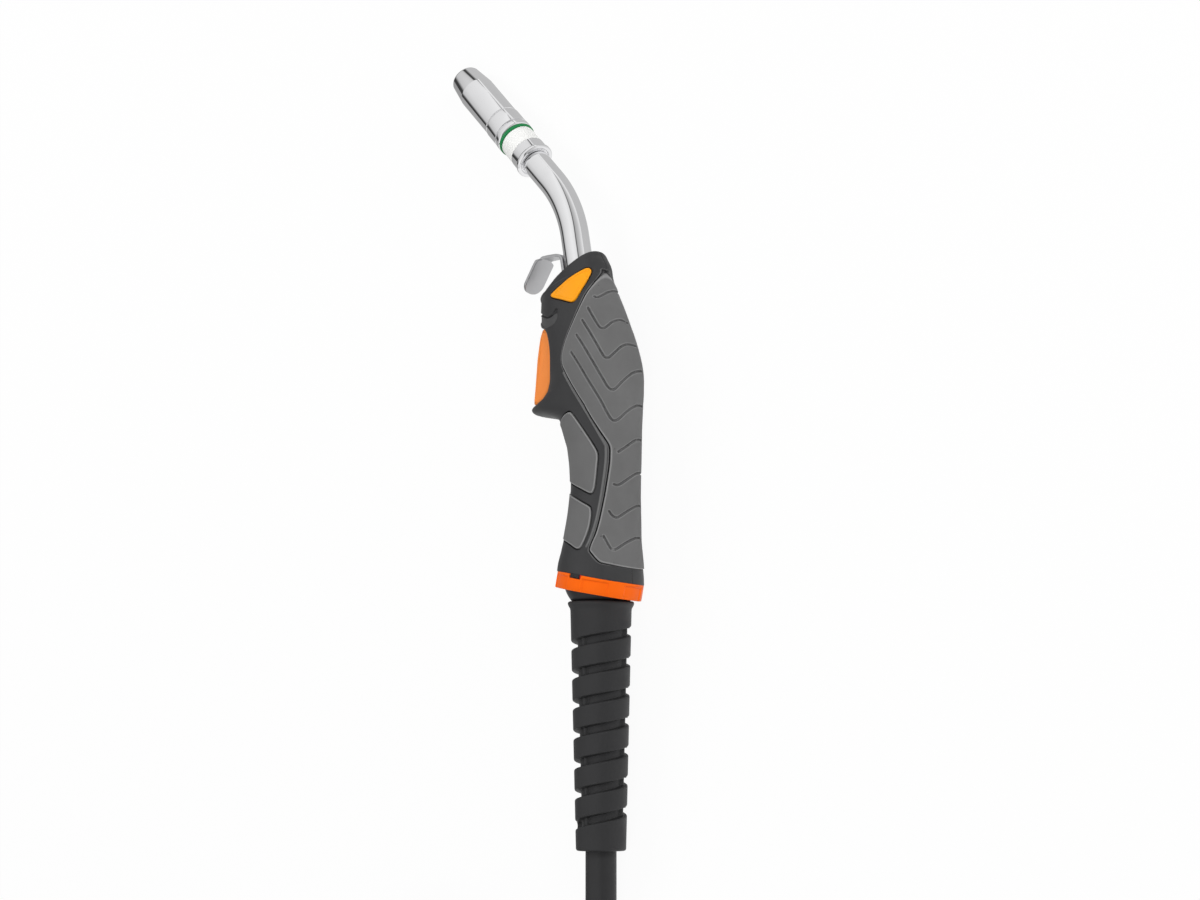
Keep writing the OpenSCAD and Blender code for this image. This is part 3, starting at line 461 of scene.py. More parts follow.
bpy.context.scene.view_settings.view_transform = "Standard"
world_bg = bpy.data.worlds.new("studio")
bpy.context.scene.world = world_bg
world_bg.use_nodes = True
bg = world_bg.node_tree.nodes["Background"]
bg.inputs["Color"].default_value = (1, 1, 1, 1)
bg.inputs["Strength"].default_value = 0.32


def painted_studio_reflection(tree, stops):
    """Painted reflection: dark edges in what metal reflects, drawn by the angle about the picture's upright.

    They are placed for the photo's view, and the build's rules don't allow it: see report.md.
    """
    nodes, link = tree.nodes, tree.links.new
    way = nodes.new("ShaderNodeTexCoord").outputs["Generated"]
    dots = []
    for axis in (SIDE_WAY, EYE_WAY):
        dot = nodes.new("ShaderNodeVectorMath")
        dot.operation = "DOT_PRODUCT"
        link(way, dot.inputs[0])
        dot.inputs[1].default_value = axis
        dots.append(dot.outputs["Value"])
    angle = node_range(tree, node_math(tree, "ARCTAN2", *dots), -math.pi, math.pi, 0, 1)
    glow = nodes.new("ShaderNodeBackground")
    link(node_ramp(tree, angle, [((deg + 180) / 360, (v, v, v, 1)) for deg, v in stops]),
         glow.inputs["Color"])
    seen = nodes.new("ShaderNodeLightPath").outputs["Is Glossy Ray"]
    link(node_mix(tree, seen, nodes["Background"].outputs[0], glow.outputs[0]),
         nodes["World Output"].inputs["Surface"])


# painted reflection: the axes and the grey levels of the dark edges in what chrome reflects
EYE_WAY, SIDE_WAY = (-0.174, -0.548, 0.8185), (0, -0.831, -0.556)
painted_studio_reflection(world_bg.node_tree, [
    (-180, 0.9), (-127, 0.05), (-112, 0.05), (-104, 0.6), (-85, 0.78), (-40, 0.95), (-12, 0.86),
    (-8, 0.72), (-5, 0.12), (1, 0.14), (4, 0.42), (14, 0.5), (34, 0.62), (56, 0.85), (110, 0.9)])


def soft_light(name, at, target, size, power, size_y):
    d = bpy.data.lights.new(name, "AREA")
    d.energy = power
    d.shape = "RECTANGLE"
    d.size = size
    d.size_y = size_y
    ob = bpy.data.objects.new(name, d)
    bpy.context.scene.collection.objects.link(ob)
    ob.visible_glossy = False
    ob.location = at
    ob.rotation_euler = (Vector(target) - Vector(at)).to_track_quat("-Z", "Y").to_euler()


soft_light("key", (0.5, 0.9, 1.1), (0, 0, 0), 0.5, 9.5, 0.9)
soft_light("fill", (0.5, -1.2, 0.7), (0, 0, 0), 0.4, 10, 1.2)
soft_light("front", (-0.9, -0.5, 1.5), (-0.1, 0, 0), 0.8, 8, 0.8)


# ---------------------------------------------------------------- cutting tools
FAR = 50.0


def split_at(V, T, field, level):
    """Splits triangles so that edges follow field(V) == level."""
    f = field(V) - level
    f[np.abs(f) < 1e-4] = 0
    s = np.sign(f).astype(int)
    e = np.stack([T[:, [0, 1]], T[:, [1, 2]], T[:, [2, 0]]], 1).reshape(-1, 2)
    e.sort(axis=1)
    cross = s[e[:, 0]] * s[e[:, 1]] < 0
    if not cross.any():
        return V, T
    uniq, inv = np.unique(e[cross], axis=0, return_inverse=True)
    a, b = uniq[:, 0], uniq[:, 1]
    new = V[a] + (V[b] - V[a]) * (f[a] / (f[a] - f[b]))[:, None]
    mid = np.full(len(e), -1)
    mid[cross] = len(V) + inv.reshape(-1)
    mid = mid.reshape(-1, 3)
    n_cross = (mid >= 0).sum(1)
    out = [T[n_cross == 0]]
    for k in range(3):
        i, j, l = k, (k + 1) % 3, (k + 2) % 3
        rows = np.flatnonzero((n_cross == 2) & (mid[:, i] >= 0) & (mid[:, l] >= 0))
        A, B, C = T[rows, i], T[rows, j], T[rows, l]
        m1, m2 = mid[rows, i], mid[rows, l]
        out += [np.stack(t, 1) for t in ((A, m1, m2), (m1, B, m2), (B, C, m2))]
        rows = np.flatnonzero((n_cross == 1) & (mid[:, j] >= 0))
        A, B, C = T[rows, i], T[rows, j], T[rows, l]
        m = mid[rows, j]
        out += [np.stack(t, 1) for t in ((A, B, m), (A, m, C))]
    return np.concatenate([V, new]), np.concatenate(out)


def polyline_distance(P, line, closed=False):
    """Distance from each point to a polyline, in 2D or 3D, with the parameter of the nearest spot."""
    L = np.asarray(line, float)
    A, B = (L, np.roll(L, -1, 0)) if closed else (L[:-1], L[1:])
    best = np.full(len(P), 1e9)
    at = np.zeros(len(P))
    for i, (a, b) in enumerate(zip(A, B)):
        d = b - a
        t = np.clip(((P - a) @ d) / max(1e-12, d @ d), 0, 1)
        r = np.linalg.norm(P - a - t[:, None] * d, axis=1)
        m = r < best
        best[m] = r[m]
        at[m] = i + t[m]
    return best, at


def signed_distance(P, poly):
    """Signed distance to a closed 2D outline, negative inside."""
    d, _ = polyline_distance(P, poly, True)
    inside = np.zeros(len(P), bool)
    q = np.asarray(poly, float)
    j = len(q) - 1
    for i in range(len(q)):
        a, b = q[i], q[j]
        c = (a[1] > P[:, 1]) != (b[1] > P[:, 1])
        with np.errstate(divide="ignore", invalid="ignore"):
            x = (b[0] - a[0]) * (P[:, 1] - a[1]) / (b[1] - a[1]) + a[0]
        inside ^= c & (P[:, 0] < x)
        j = i
    return np.where(inside, -d, d)


def normals_of(V, T):
    n = np.cross(V[T[:, 1]] - V[T[:, 0]], V[T[:, 2]] - V[T[:, 0]])
    out = np.zeros_like(V)
    for k in range(3):
        np.add.at(out, T[:, k], n)
    return unit(out, 1e-12)


def compact(V, T):
    """Drops unused vertices, and gives the numbers of those that stay."""
    kept = np.unique(T)
    new = np.full(len(V), -1)
    new[kept] = np.arange(len(kept))
    return V[kept], new[T], kept


# ---------------------------------------------------------------- the handle
# x, z, lean, half depth, half width and taper of each section, from the ball to the neck
STATIONS = np.array([
    [-0.1, -0.5, -13, 20.5, 20.5, 0], [-2, 20, -10, 18.5, 18.3, 0],
    [-3.2, 44, -6, 17.4, 15.2, 0], [-1.2, 68, -1, 20.3, 16.3, 0.04],
    [3.6, 96, 3, 24.8, 19.4, 0.1], [10.8, 123, 10, 25.3, 17.2, 0.12],
    [16.6, 143.6, 12.5, 18.6, 14.8, 0.12], [17.1, 148.2, 22.7, 19.5, 12.8, 0.06],
    [12.2, 156.0, 30.1, 14.65, 11, 0]])
POWER = 2.2


def station(u):
    i = min(int(u), len(STATIONS) - 2)
    return spline(STATIONS, i, u - i)


# how far the finger guard reaches forward, and how the front and back are drawn in, by height
GUARD_Z = [73, 77, 79.8, 81.4, 82.6, 83.6, 84.6, 85.6, 86.6, 87.6, 88.8, 90.5, 93, 97, 101, 106, 110]
GUARD_X = [18, 20.5, 23.4, 28.2, 33.2, 37.6, 40.8, 42.3, 42.8, 42.4, 40.6, 36.5, 31.5, 29.6, 29.8, 30, 28]
FRONT_Z = [0, 4, 7, 10, 13.5, 18.5, 22.5, 26.5, 31, 35, 39, 43, 47, 51, 55, 58.5, 62.3, 66, 70, 74, 78, 80.5,
           131, 134, 139, 141.5, 142.6, 143.7, 146, 148.4, 150.5, 153, 156]
FRONT_DX = [0.4, 1.2, 1.5, 1.1, 0.4, -1.1, -1.8, -2.5, -3.0, -3.2, -3.4, -3.5, -3.4, -3.1, -2.9, -2.5, -2.0,
            -1.4, -1.0, -0.9, -0.6, 0, 0.3, 0.8, 1.1, 1.1, 1.5, 2.1, 2.9, 3.0, 2.4, 1.2, 0]
BACK_Z = [0, 3.5, 6.6, 10, 14, 17.5, 20.5, 24, 27.5, 31, 35, 39, 43, 50, 55, 60, 67, 72, 77, 81, 85, 89, 93,
          97, 101, 105, 110, 115, 120, 125, 130, 134, 137, 140, 142.5, 144.5, 146.5, 148.5, 150.5, 152, 154,
          156, 158, 160, 162]
BACK_DX = [0, 0.4, 0.5, 0.9, 1.4, 1.8, 1.7, 1.4, 1.1, 0.9, 0.7, 0.6, 0.4, 0.5, 0.7, 1.0, 1.1, 1.4, 1.6, 1.7,
           1.8, 1.5, 1.3, 0.8, 0.5, 0.5, 0.8, 1.2, 1.6, 2.1, 2.0, 1.4, 0.7, 0, -0.9, -1.6, -2.2, -2.6, -2.8,
           -2.8, -2.5, -2.0, -1.0, 0.2, 0.9]


def section(st, inset=0):
    """One round of points about a station."""
    q = np.arange(COLS) * 2 * math.pi / COLS
    c, s = np.cos(q), np.sin(q)
    x = (st[3] - inset) * np.sign(c) * np.abs(c) ** (2 / POWER)
    y = (st[4] - inset) * np.sign(s) * np.abs(s) ** (2 / POWER) * (1 - st[5] * c)
    t = rad(st[2])
    P = np.stack([st[0] + x * math.cos(t), y, st[1] - x * math.sin(t)], -1)
    grow = np.maximum(0, np.interp(P[:, 2], GUARD_Z, GUARD_X) - (st[0] + st[3] * math.cos(t)))
    P[:, 0] += grow * np.clip(c, 0, 1) ** 1.1
    P[:, 0] += np.interp(P[:, 2], FRONT_Z, FRONT_DX) * np.clip(c, 0, 1)
    P[:, 0] += np.interp(P[:, 2], BACK_Z, BACK_DX) * np.clip(-c, 0, 1)
    return P


COLS = 216
END_R, END_STEP = 2.2, 4.83
U_LAST = len(STATIONS) - 1
rows = [section(station(u), inset)
        for u, inset in ((0, 8), (0, 4), (0, 0.9), (0.006, 0.35), (0.018, 0.1))]
rows += [section(station(u)) for u in np.concatenate([
    np.linspace(0.03, 3.1, 62, False), np.linspace(3.1, 4.0, 74, False),
    np.linspace(4.0, U_LAST - END_R / END_STEP, 84)])]
for a in map(rad, (15, 30, 45, 60, 75, 90)):
    rows.append(section(station(U_LAST - END_R * (1 - math.sin(a)) / END_STEP), END_R * (1 - math.cos(a))))
last = rows[-1]
lean = rad(NECK_LEAN)
neck_dir = np.array([math.sin(lean), 0, math.cos(lean)])
neck_at = np.array([NECK_START[0], 0, NECK_START[1]])
rows += [last.mean(0) + (last - last.mean(0)) * k for k in (0.8, 0.62, 0.5, 0.4, 0.3)]
base_V = np.concatenate(rows)
base_T = triangles(grid_faces(len(rows), COLS))

# Side outlines (x, z), and grooves (x, z, y) on the near side

BACK_GRIP = [(-40, 152.4), (-3.3, 152.4), (-3.3, 150.6), (-3.2, 148.0), (-2.6, 143.9), (-1.5, 139.6),
             (-0.1, 133.3), (2.0, 126.8), (4.5, 120.9), (6.9, 115.4), (8.4, 110.6), (8.8, 106.7),
             (8.0, 103.4), (6.2, 100.2), (-4.0, 84.5), (-6.2, 80.4), (-8.8, 75.3), (-11.7, 70.0),
             (-14.1, 65.6), (-15.5, 62.6), (-16.0, 60.4), (-16.0, 57.5), (-15.7, 52.4), (-14.9, 45.8),
             (-14.0, 38.5), (-13.1, 31.2), (-12.2, 24.6), (-11.0, 18.7), (-9.6, 14.4), (-8.8, 10.9),
             (-9.9, 9.0), (-11.7, 6.6), (-13.6, 4.6), (-16.6, 3.6), (-19.5, 2.6), (-40, -3)]
UPPER_PAD = [(40, 73), (21, 75.2), (14.4, 77.2), (11.6, 78.4), (8.2, 79.5), (5.2, 79.9), (3.0, 78.5),
             (-1.5, 72.8), (-6.5, 65.7), (-9.9, 60.0), (-10.7, 56.6), (-10.1, 51.2), (-9.4, 44.6),
             (-8.9, 41.0), (-8.1, 39.2), (-6.8, 38.8), (-4.2, 39.9), (0.0, 42.0), (8.8, 46.0), (40, 60)]
LOWER_PAD = [(40, 55), (10.0, 40.7), (3.0, 37.5), (-2.8, 34.5), (-6.2, 32.7), (-7.6, 31.4), (-8.2, 28.4),
             (-8.0, 23.3), (-7.0, 18.9), (-5.5, 15.0), (-4.0, 12.4), (-2.2, 11.8), (-0.2, 12.5), (3.9, 14.9),
             (11.2, 18.1), (40, 32)]
BADGE = [(20.1, 140.4), (19.8, 141.3), (17.6, 142.5), (12.9, 145.1), (9.0, 147.7), (4.9, 150.3), (2.0, 152.1),
         (0.7, 152.6), (-0.4, 152.2), (-0.9, 150.9), (-0.8, 149.2), (-0.1, 145.3), (1.2, 141.2), (2.5, 137.6),
         (3.7, 135.7), (5.2, 135.1), (7.0, 135.5), (12.9, 137.5), (18.4, 139.3)]
SCOOP = [(60, 129.4), (33.0, 127.4), (28.6, 125.7), (25.8, 124.3), (24.0, 122.4), (22.5, 119.4),
         (21.3, 115.9), (20.5, 111.4), (20.5, 105.7), (21.7, 99.0), (22.9, 95.7), (24.0, 93.2), (25.4, 91.3),
         (27.6, 89.7), (31.0, 88.5), (34.8, 87.8), (60, 87.0)]
PIVOT_PATCH = [(36, 134.4), (30.6, 132.0), (24.3, 129.9), (20.0, 129.5), (17.1, 130.6), (14.6, 130.5),
               (14.3, 128.3), (16.2, 126.0), (19.8, 125.1), (23.2, 125.0), (26.0, 125.6), (28.8, 127.6),
               (36, 131.6)]
SLIT = [(36, 136), (29.5, 133.2), (26.1, 131.3), (22.8, 130.3), (20.1, 130.4), (18.0, 131.4), (16.9, 132.7),
        (15.6, 133.2), (14.3, 132.6), (14.0, 131.8), (14.9, 131.0), (17.1, 130.6), (19.4, 129.7),
        (22.7, 129.6), (26.4, 130.7), (36, 135.0)]
RIDGE = [(7.4, 99.4), (-0.4, 87.4), (-5.8, 78.5), (-9.9, 70.9), (-14.0, 62.6), (-14.4, 59.7), (-14.2, 54.6),
         (-13.4, 47.3), (-12.5, 40.0), (-11.7, 32.7), (-10.9, 26.1), (-9.9, 21.0), (-8.3, 15.5), (-7.0, 12.6)]
SCREWS = [(10, 33), (16, 87), (25.5, 135)]
GROOVES = [
    [(-4.7, 137.2, 10.1), (-5.7, 136.8, 9.2), (-6.3, 137.3, 7.8), (-6.6, 138.9, 4.9), (-6.3, 140.5, 1.4),
     (-6.0, 141.4, -1.6), (-5.0, 142.1, -5.3), (-3.4, 142.1, -8.6)],
    [(-3.9, 131.2, 13.9), (-6.1, 127.8, 13.8), (-8.7, 123.9, 13.5), (-10.2, 121.6, 13.1),
     (-11.2, 120.6, 12.7), (-12.0, 120.3, 12.0), (-12.9, 120.9, 10.9), (-13.6, 122.5, 9.0),
     (-14.1, 124.4, 6.5), (-14.5, 125.7, 3.2), (-14.4, 126.4, 0.0), (-14.3, 126.3, -2.8),
     (-14.2, 125.7, -4.4)],
    [(-2.2, 124.8, 16.2), (-6.2, 119.3, 16.0), (-10.4, 112.7, 15.4), (-13.3, 107.5, 14.5),
     (-14.5, 105.3, 13.8), (-15.3, 104.7, 13.1), (-16.2, 105.0, 12.0), (-17.1, 106.7, 10.4),
     (-18.1, 109.3, 7.8), (-18.6, 111.6, 4.7), (-18.7, 112.8, 1.7), (-18.5, 113.5, -2.1),
     (-18.0, 113.5, -5.4)],
    [(-0.1, 117.4, 17.8), (-4.2, 112.1, 17.9), (-10.1, 102.9, 17.1), (-13.9, 95.3, 15.1), (-15.6, 91.1, 13.4),
     (-16.5, 89.4, 12.3), (-17.3, 88.9, 11.2), (-18.1, 89.5, 9.9), (-19.0, 91.8, 7.9), (-19.9, 94.6, 5.2),
     (-20.4, 97.4, 1.6), (-20.3, 99.2, -2.2), (-19.5, 100.2, -6.2)],
    [(2.4, 109.1, 18.9), (-3.5, 101.4, 19.1), (-9.6, 91.3, 17.6), (-13.0, 84.2, 15.1), (-15.4, 77.5, 12.6),
     (-16.5, 74.8, 11.3), (-17.3, 73.8, 10.1), (-18.1, 74.1, 8.9), (-19.0, 75.8, 6.9), (-19.8, 78.5, 4.1),
     (-20.1, 81.0, 0.3), (-19.8, 82.7, -3.7), (-18.5, 83.3, -8.4)],
    [(-18.4, 58.7, 8.0), (-19.8, 61.2, 4.6), (-20.4, 64.1, 0.4), (-20.2, 65.7, -3.2), (-18.5, 66.4, -8.1)],
    [(-16.9, 42.8, 9.6), (-17.7, 42.4, 8.6), (-18.6, 42.9, 7.1), (-19.9, 45.7, 3.2), (-20.2, 48.5, -1.4),
     (-19.7, 49.7, -4.8), (-18.2, 50.1, -8.1)],
    [(-15.5, 29.5, 11.5), (-16.3, 27.7, 10.4), (-17.1, 26.7, 9.1), (-17.7, 26.8, 7.8), (-18.3, 27.7, 6.3),
     (-19.3, 30.3, 2.5), (-19.4, 32.7, -2.3), (-18.8, 33.8, -5.7)],
    [(-13.8, 17.4, 13.6), (-15.1, 14.3, 12.5), (-16.1, 11.8, 11.5), (-16.8, 11.0, 10.6), (-17.3, 11.0, 9.4),
     (-17.9, 12.0, 7.5), (-18.6, 14.6, 3.4), (-18.4, 17.1, -2.3), (-17.7, 18.3, -6.4)]]

base_tree = BVHTree.FromPolygons([tuple(v) for v in base_V], [tuple(int(i) for i in t) for t in base_T])
# a groove goes on over the back, and is mirrored on the far side
groove_lines = []
for g in GROOVES:
    pts = np.array(g)[:, [0, 2, 1]]
    low = max(1, int(pts[:, 2].argmin()))
    far = pts[:low][::-1] * [1, -1, 1] - [0, 6, 0]
    fine = catmull(np.concatenate([pts, [pts[-1] + [1.5, -4, -0.4]], far]), 10)
    groove_lines.append(np.array([base_tree.find_nearest(Vector(q))[0] for q in fine]))


def smooth_outline(pts, closed=False):
    """An outline with its corners eased; the first and last points of an open one stay sharp."""
    if closed:
        k = len(pts)
        ring = catmull(np.array(list(pts[-2:]) + list(pts) + list(pts[:2])), 4)
        return ring[8:8 + 4 * k]
    return np.array([pts[0]] + [tuple(q) for q in catmull(np.array(pts[1:-1]), 4)] + [pts[-1]])


SCOOP = smooth_outline(SCOOP)
inlay_lines = {
    "back_grip": smooth_outline(BACK_GRIP), "front_grip_upper": smooth_outline(UPPER_PAD),
    "front_grip_lower": smooth_outline(LOWER_PAD), "badge_panel": smooth_outline(BADGE, True)}


def xz(P):
    return P[:, [0, 2]]


def inlay_fields(P):
    """The distance to each inlay's outline; the badge is on the near side only."""
    out = {k: signed_distance(xz(P), line) for k, line in inlay_lines.items()}
    out["badge_panel"] = np.where(P[:, 1] > 0, out["badge_panel"], FAR)
    return out


def inlay_d(P):
    return np.min(np.stack(list(inlay_fields(P).values())), 0)


def outline_field(line):
    return lambda P: signed_distance(xz(P), line)


def groove_d(P):
    best = np.full(len(P), FAR)
    for line in groove_lines:
        lo, hi = line.min(0) - 3, line.max(0) + 3
        m = ((P > lo) & (P < hi)).all(1)
        if m.any():
            d, _ = polyline_distance(P[m], line)
            best[m] = np.minimum(best[m], d)
    return best


scoop_d = outline_field(SCOOP)
patch_d = outline_field(smooth_outline(PIVOT_PATCH))
slit_d = outline_field(smooth_outline(SLIT))
ridge_line = catmull(RIDGE, 5)
SCREW_R = 3.2


def ridge_d(P):
    return polyline_distance(xz(P), ridge_line)[0]


def screw_d(P):
    d = np.min([np.hypot(P[:, 0] - x, P[:, 2] - z) for x, z in SCREWS], 0)
    return np.where(P[:, 1] < 0, d, FAR)


# Edges are cut in along each form, so that the heights below bend there
V, T = split_at(base_V, base_T, scoop_d, 0)
V, T, _ = compact(V, T[scoop_d(V[T].mean(1)) > 0])
for field, levels in (
        (scoop_d, (1.6, 1.0, 0.4, 0.1)),
        (inlay_d, (1.15, 0.9, 0.72, 0.62, 0.5, 0.28, 0.1, 0, -0.05, -0.2, -0.5, -0.8, -1.25, -1.5)),
        (groove_d, (1.15, 0.92, 0.72, 0.55, 0.4, 0.12)),
        (patch_d, (0.4, 0.15, -0.1)),
        (slit_d, (0.35, 0.1, -0.12)),
        (ridge_d, (0.7, 0.45, 0.22)),
        (screw_d, (3.5, SCREW_R)),
        (lambda P: P[:, 1], (-0.3, -0.1, 0, 0.1, 0.3))):
    for level in levels:
        V, T = split_at(V, T, field, level)
V, T, _ = compact(V, T[screw_d(V[T].mean(1)) > SCREW_R])

N = normals_of(V, T)
mid = V[T].mean(1)
fields = inlay_fields(V)
d_in = np.min(np.stack(list(fields.values())), 0)
d_sc, d_gr, d_pa, d_ri = scoop_d(V), groove_d(V), patch_d(V), ridge_d(V)
steep = np.clip(np.abs(N[:, 1]), 0.4, 1)
h_shell = np.interp(d_in / steep, [0, 0.1, 0.5, 0.62, 0.72, 0.9, 1.15],
                    [-1.6, -1.6, -1.4, -0.1, 0.06, 0.06, 0])
h_shell += np.interp(d_ri, [0, 0.22, 0.45, 0.7], [0.42, 0.36, 0.06, 0])
h_shell += np.interp(d_sc, [0, 0.1, 0.4, 1.0, 1.6], [-0.95, -0.62, -0.3, -0.06, 0])
h_shell += np.interp(d_pa, [-0.1, 0.15, 0.4], [-0.3, -0.06, 0])
h_shell += np.interp(slit_d(V), [-0.12, 0.1, 0.35], [-1.2, -0.2, 0])
h_shell += np.interp(np.abs(V[:, 1]), [0, 0.1, 0.3], [-0.3, -0.12, 0])
h_shell += np.interp(screw_d(V), [SCREW_R, 3.5], [-0.25, 0])
h_soft = np.interp(-d_in, [0, 0.05, 0.2, 0.5, 0.8], [-1.8, -0.1, 0.42, 0.52, 0.44])
h_soft += np.interp(d_gr, [0, 0.12, 0.4, 0.55, 0.72, 0.92], [-1.15, -1.12, -0.95, -0.28, -0.05, 0])
h_badge = np.interp(-fields["badge_panel"], [0, 0.05, 0.2, 0.5, 1.25, 1.5],
                    [-0.9, -0.1, 0.3, 0.42, 0.4, 0.05])

# Painted highlight: the grips are paler just inside their borders and beside their grooves, and the shell
# along its ridge and beside the back grip's border. The pivot patch is paler too.
soft_rim_highlight = np.interp(-d_in, [0.05, 0.2, 0.5, 0.8], [0, 1, 1, 0])
soft_rim_highlight = np.maximum(soft_rim_highlight, 0.55 * np.interp(d_gr, [0.55, 0.72, 0.92, 1.15], [0, 1, 1, 0]))
shell_rim_highlight = np.maximum(np.interp(d_ri, [0.22, 0.45, 0.7], [1, 0.7, 0]),
                       np.interp(fields["back_grip"] / steep, [0.62, 0.72, 0.9, 1.15], [0, 1, 1, 0]))
shell_rim_highlight = np.maximum(shell_rim_highlight, np.where(d_pa < 0, 0.3, 0))
mid_fields = inlay_fields(mid)
region = np.full(len(T), -1)
for i, k in enumerate(inlay_lines):
    region[mid_fields[k] < 0] = i
region[(region == -1) & (mid[:, 1] < 0)] = -2
for r, node, slot, h, rim_highlight in (
        (-1, "handle_shell_near", "shell_plastic", h_shell, shell_rim_highlight),
        (-2, "handle_shell_far", "shell_plastic", h_shell, shell_rim_highlight),
        (0, "back_grip", "grip_rubber", h_soft, soft_rim_highlight),
        (1, "front_grip_upper", "grip_rubber", h_soft, soft_rim_highlight),
        (2, "front_grip_lower", "grip_rubber", h_soft, soft_rim_highlight),
        (3, "badge_panel", "badge_plastic", h_badge, None)):
    v, t, kept = compact(V + N * h[:, None], T[region == r])
    ob = make(node + "_skin", v, t, slot, "handle", node)
    if rim_highlight is not None:
        attribute = ob.data.attributes.new("rim_highlight", "FLOAT", "POINT")
        attribute.data.foreach_set("value", rim_highlight[kept].astype(np.float32))

# walls of the hollow behind the trigger, from one border of the shells to the other
SLOT_HALF, SLOT_LOW, SLOT_TOP, SLOT_FRONT, HOLLOW_BACK = 8.4, 87.0, 127.6, 34, 14.0
WALL_STEPS, WALL_N = 90, 5
on_edge = np.flatnonzero(np.abs(scoop_d(V)) < 2e-3)
near_edge = on_edge[V[on_edge, 1] > 0.05]
_, at_path = polyline_distance(xz(V[near_edge]), SCOOP)
order = np.argsort(at_path)
near_edge, at_path = near_edge[order], at_path[order]
shifted = (V + N * h_shell[:, None])[near_edge]
wall_rows = []
for t in np.linspace(at_path[0], at_path[-1], WALL_STEPS):
    i = min(int(t), len(SCOOP) - 2)
    p = SCOOP[i] + (SCOOP[i + 1] - SCOOP[i]) * (t - i)
    y = np.interp(t, at_path, V[near_edge, 1])
    e = np.array([np.interp(t, at_path, shifted[:, k]) for k in range(3)])
    wall_rows.append((p, y, e))
wall_V, wall_F = [], []


def wall_strip(rows_in, side, inner):
    """A strip of the hollow's wall from the border to a given half width."""
    start = len(wall_V)
    for p, y, e in rows_in:
        stop = min(inner, y - 0.05)
        edge = max(stop, y - 1.5)
        across = [(0, max(stop, y - 0.8)), (0, edge)]
        across += [(0, edge + (stop - edge) * k / (WALL_N - 1)) for k in range(1, WALL_N)]
        if inner > 0:
            across += [(0.25, stop - 0.35), (0.9, stop - 0.5), (7, stop - 0.5)]
        line = [e * [1, side, 1]] + [np.array([p[0] - back, side * w, p[1]]) for back, w in across]
        wall_V.extend(line)
    n = len(line)
    for i in range(len(rows_in) - 1):
        for k in range(n - 1):
            a = start + i * n + k
            q = (a, a + 1, a + n + 1, a + n)
            wall_F.append(q if side > 0 else q[::-1])


in_slot = [SLOT_LOW < r[0][1] < SLOT_TOP and r[0][0] < SLOT_FRONT for r in wall_rows]
first, final = in_slot.index(True), len(in_slot) - in_slot[::-1].index(True)
for side in (1, -1):
    wall_strip(wall_rows[:first + 1], side, 0)
    wall_strip(wall_rows[first:final], side, SLOT_HALF)
    wall_strip(wall_rows[final - 1:], side, 0)
for k in (first, final - 1):
    x, z = wall_rows[k][0]
    n = len(wall_V)
    wall_V += [np.array([a, s * SLOT_HALF, z])
               for a, s in ((x, 1), (x, -1), (HOLLOW_BACK, -1), (HOLLOW_BACK, 1))]
    q = (n, n + 1, n + 2, n + 3)
    wall_F.append(q if k == first else q[::-1])
sharpen(make("trigger_hollow", wall_V, wall_F, "shell_plastic", "handle"), 40)


def offset_in(poly, d):
    """A closed outline drawn in by d."""
    u, v = unit(poly - np.roll(poly, 1, 0)), unit(np.roll(poly, -1, 0) - poly)
    nu, nv = np.stack([-u[:, 1], u[:, 0]], 1), np.stack([-v[:, 1], v[:, 0]], 1)
    m = unit(nu + nv)
    k = 1 / np.maximum((m * nu).sum(1), 0.5)
    return poly + m * (k * d)[:, None]


def area(poly):
    x, y = poly[:, 0], poly[:, 1]
    return 0.5 * float((x * np.roll(y, -1) - np.roll(x, -1) * y).sum())


def rounded_prism(poly, half, r, n, width):
    """A side outline (x, z) given a width with rounded edges, which width(q) narrows."""
    if area(poly) < 0:
        poly = poly[::-1]
    rings = []
    for s in (1, -1):
        for k in range(n + 1)[::s]:
            a = rad(90 * k / n)
            q = offset_in(poly, r * (1 - math.sin(a)))
            y = (half - r * (1 - math.cos(a))) * width(q)
            rings.append(np.stack([q[:, 0], s * y, q[:, 1]], 1))
    c = len(poly)
    faces = grid_faces(len(rings), c)
    faces += [tuple(range(c))[::-1], tuple(range((len(rings) - 1) * c, len(rings) * c))]
    return np.concatenate(rings), faces


def densify(poly, step):
    p = np.asarray(poly, float)
    out = []
    for a, b in zip(p, np.roll(p, -1, 0)):
        n = max(1, int(np.linalg.norm(b - a) / step))
        out += [a + (b - a) * i / n for i in range(n)]
    return np.array(out)


TRIGGER = [(33.5, 127.0), (34.8, 122.8), (35.5, 117.5), (36.1, 112.5), (36.8, 105), (37.5, 97.5),
           (38.2, 91.4), (38.2, 88.9), (36.4, 88.6), (33.0, 89.4), (30.2, 91.2), (28.0, 94.4), (26.2, 99),
           (24.6, 110), (23.6, 119), (24.0, 122.4), (26.0, 124.9), (29.4, 126.6)]
tv, tf = rounded_prism(densify(round_outline(TRIGGER, 1.6, 6), 0.9), 8.0, 1.7, 7,
                       lambda q: np.interp(q[:, 1], [90, 112, 121, 126], [1, 1, 0.93, 0.86]))
make("trigger_body", tv, tf, "trigger_plastic", "trigger", "trigger")

# ---------------------------------------------------------------- hook
HOOK_T = 1.5
lean_x = math.tan(lean)
hook_in = (NECK_D / 2 + 0.12 + 0.1 + HOOK_T / 2) / math.cos(lean)


def beside_neck(z):
    return np.array([NECK_START[0] + (z - NECK_START[1]) * lean_x + hook_in, z])


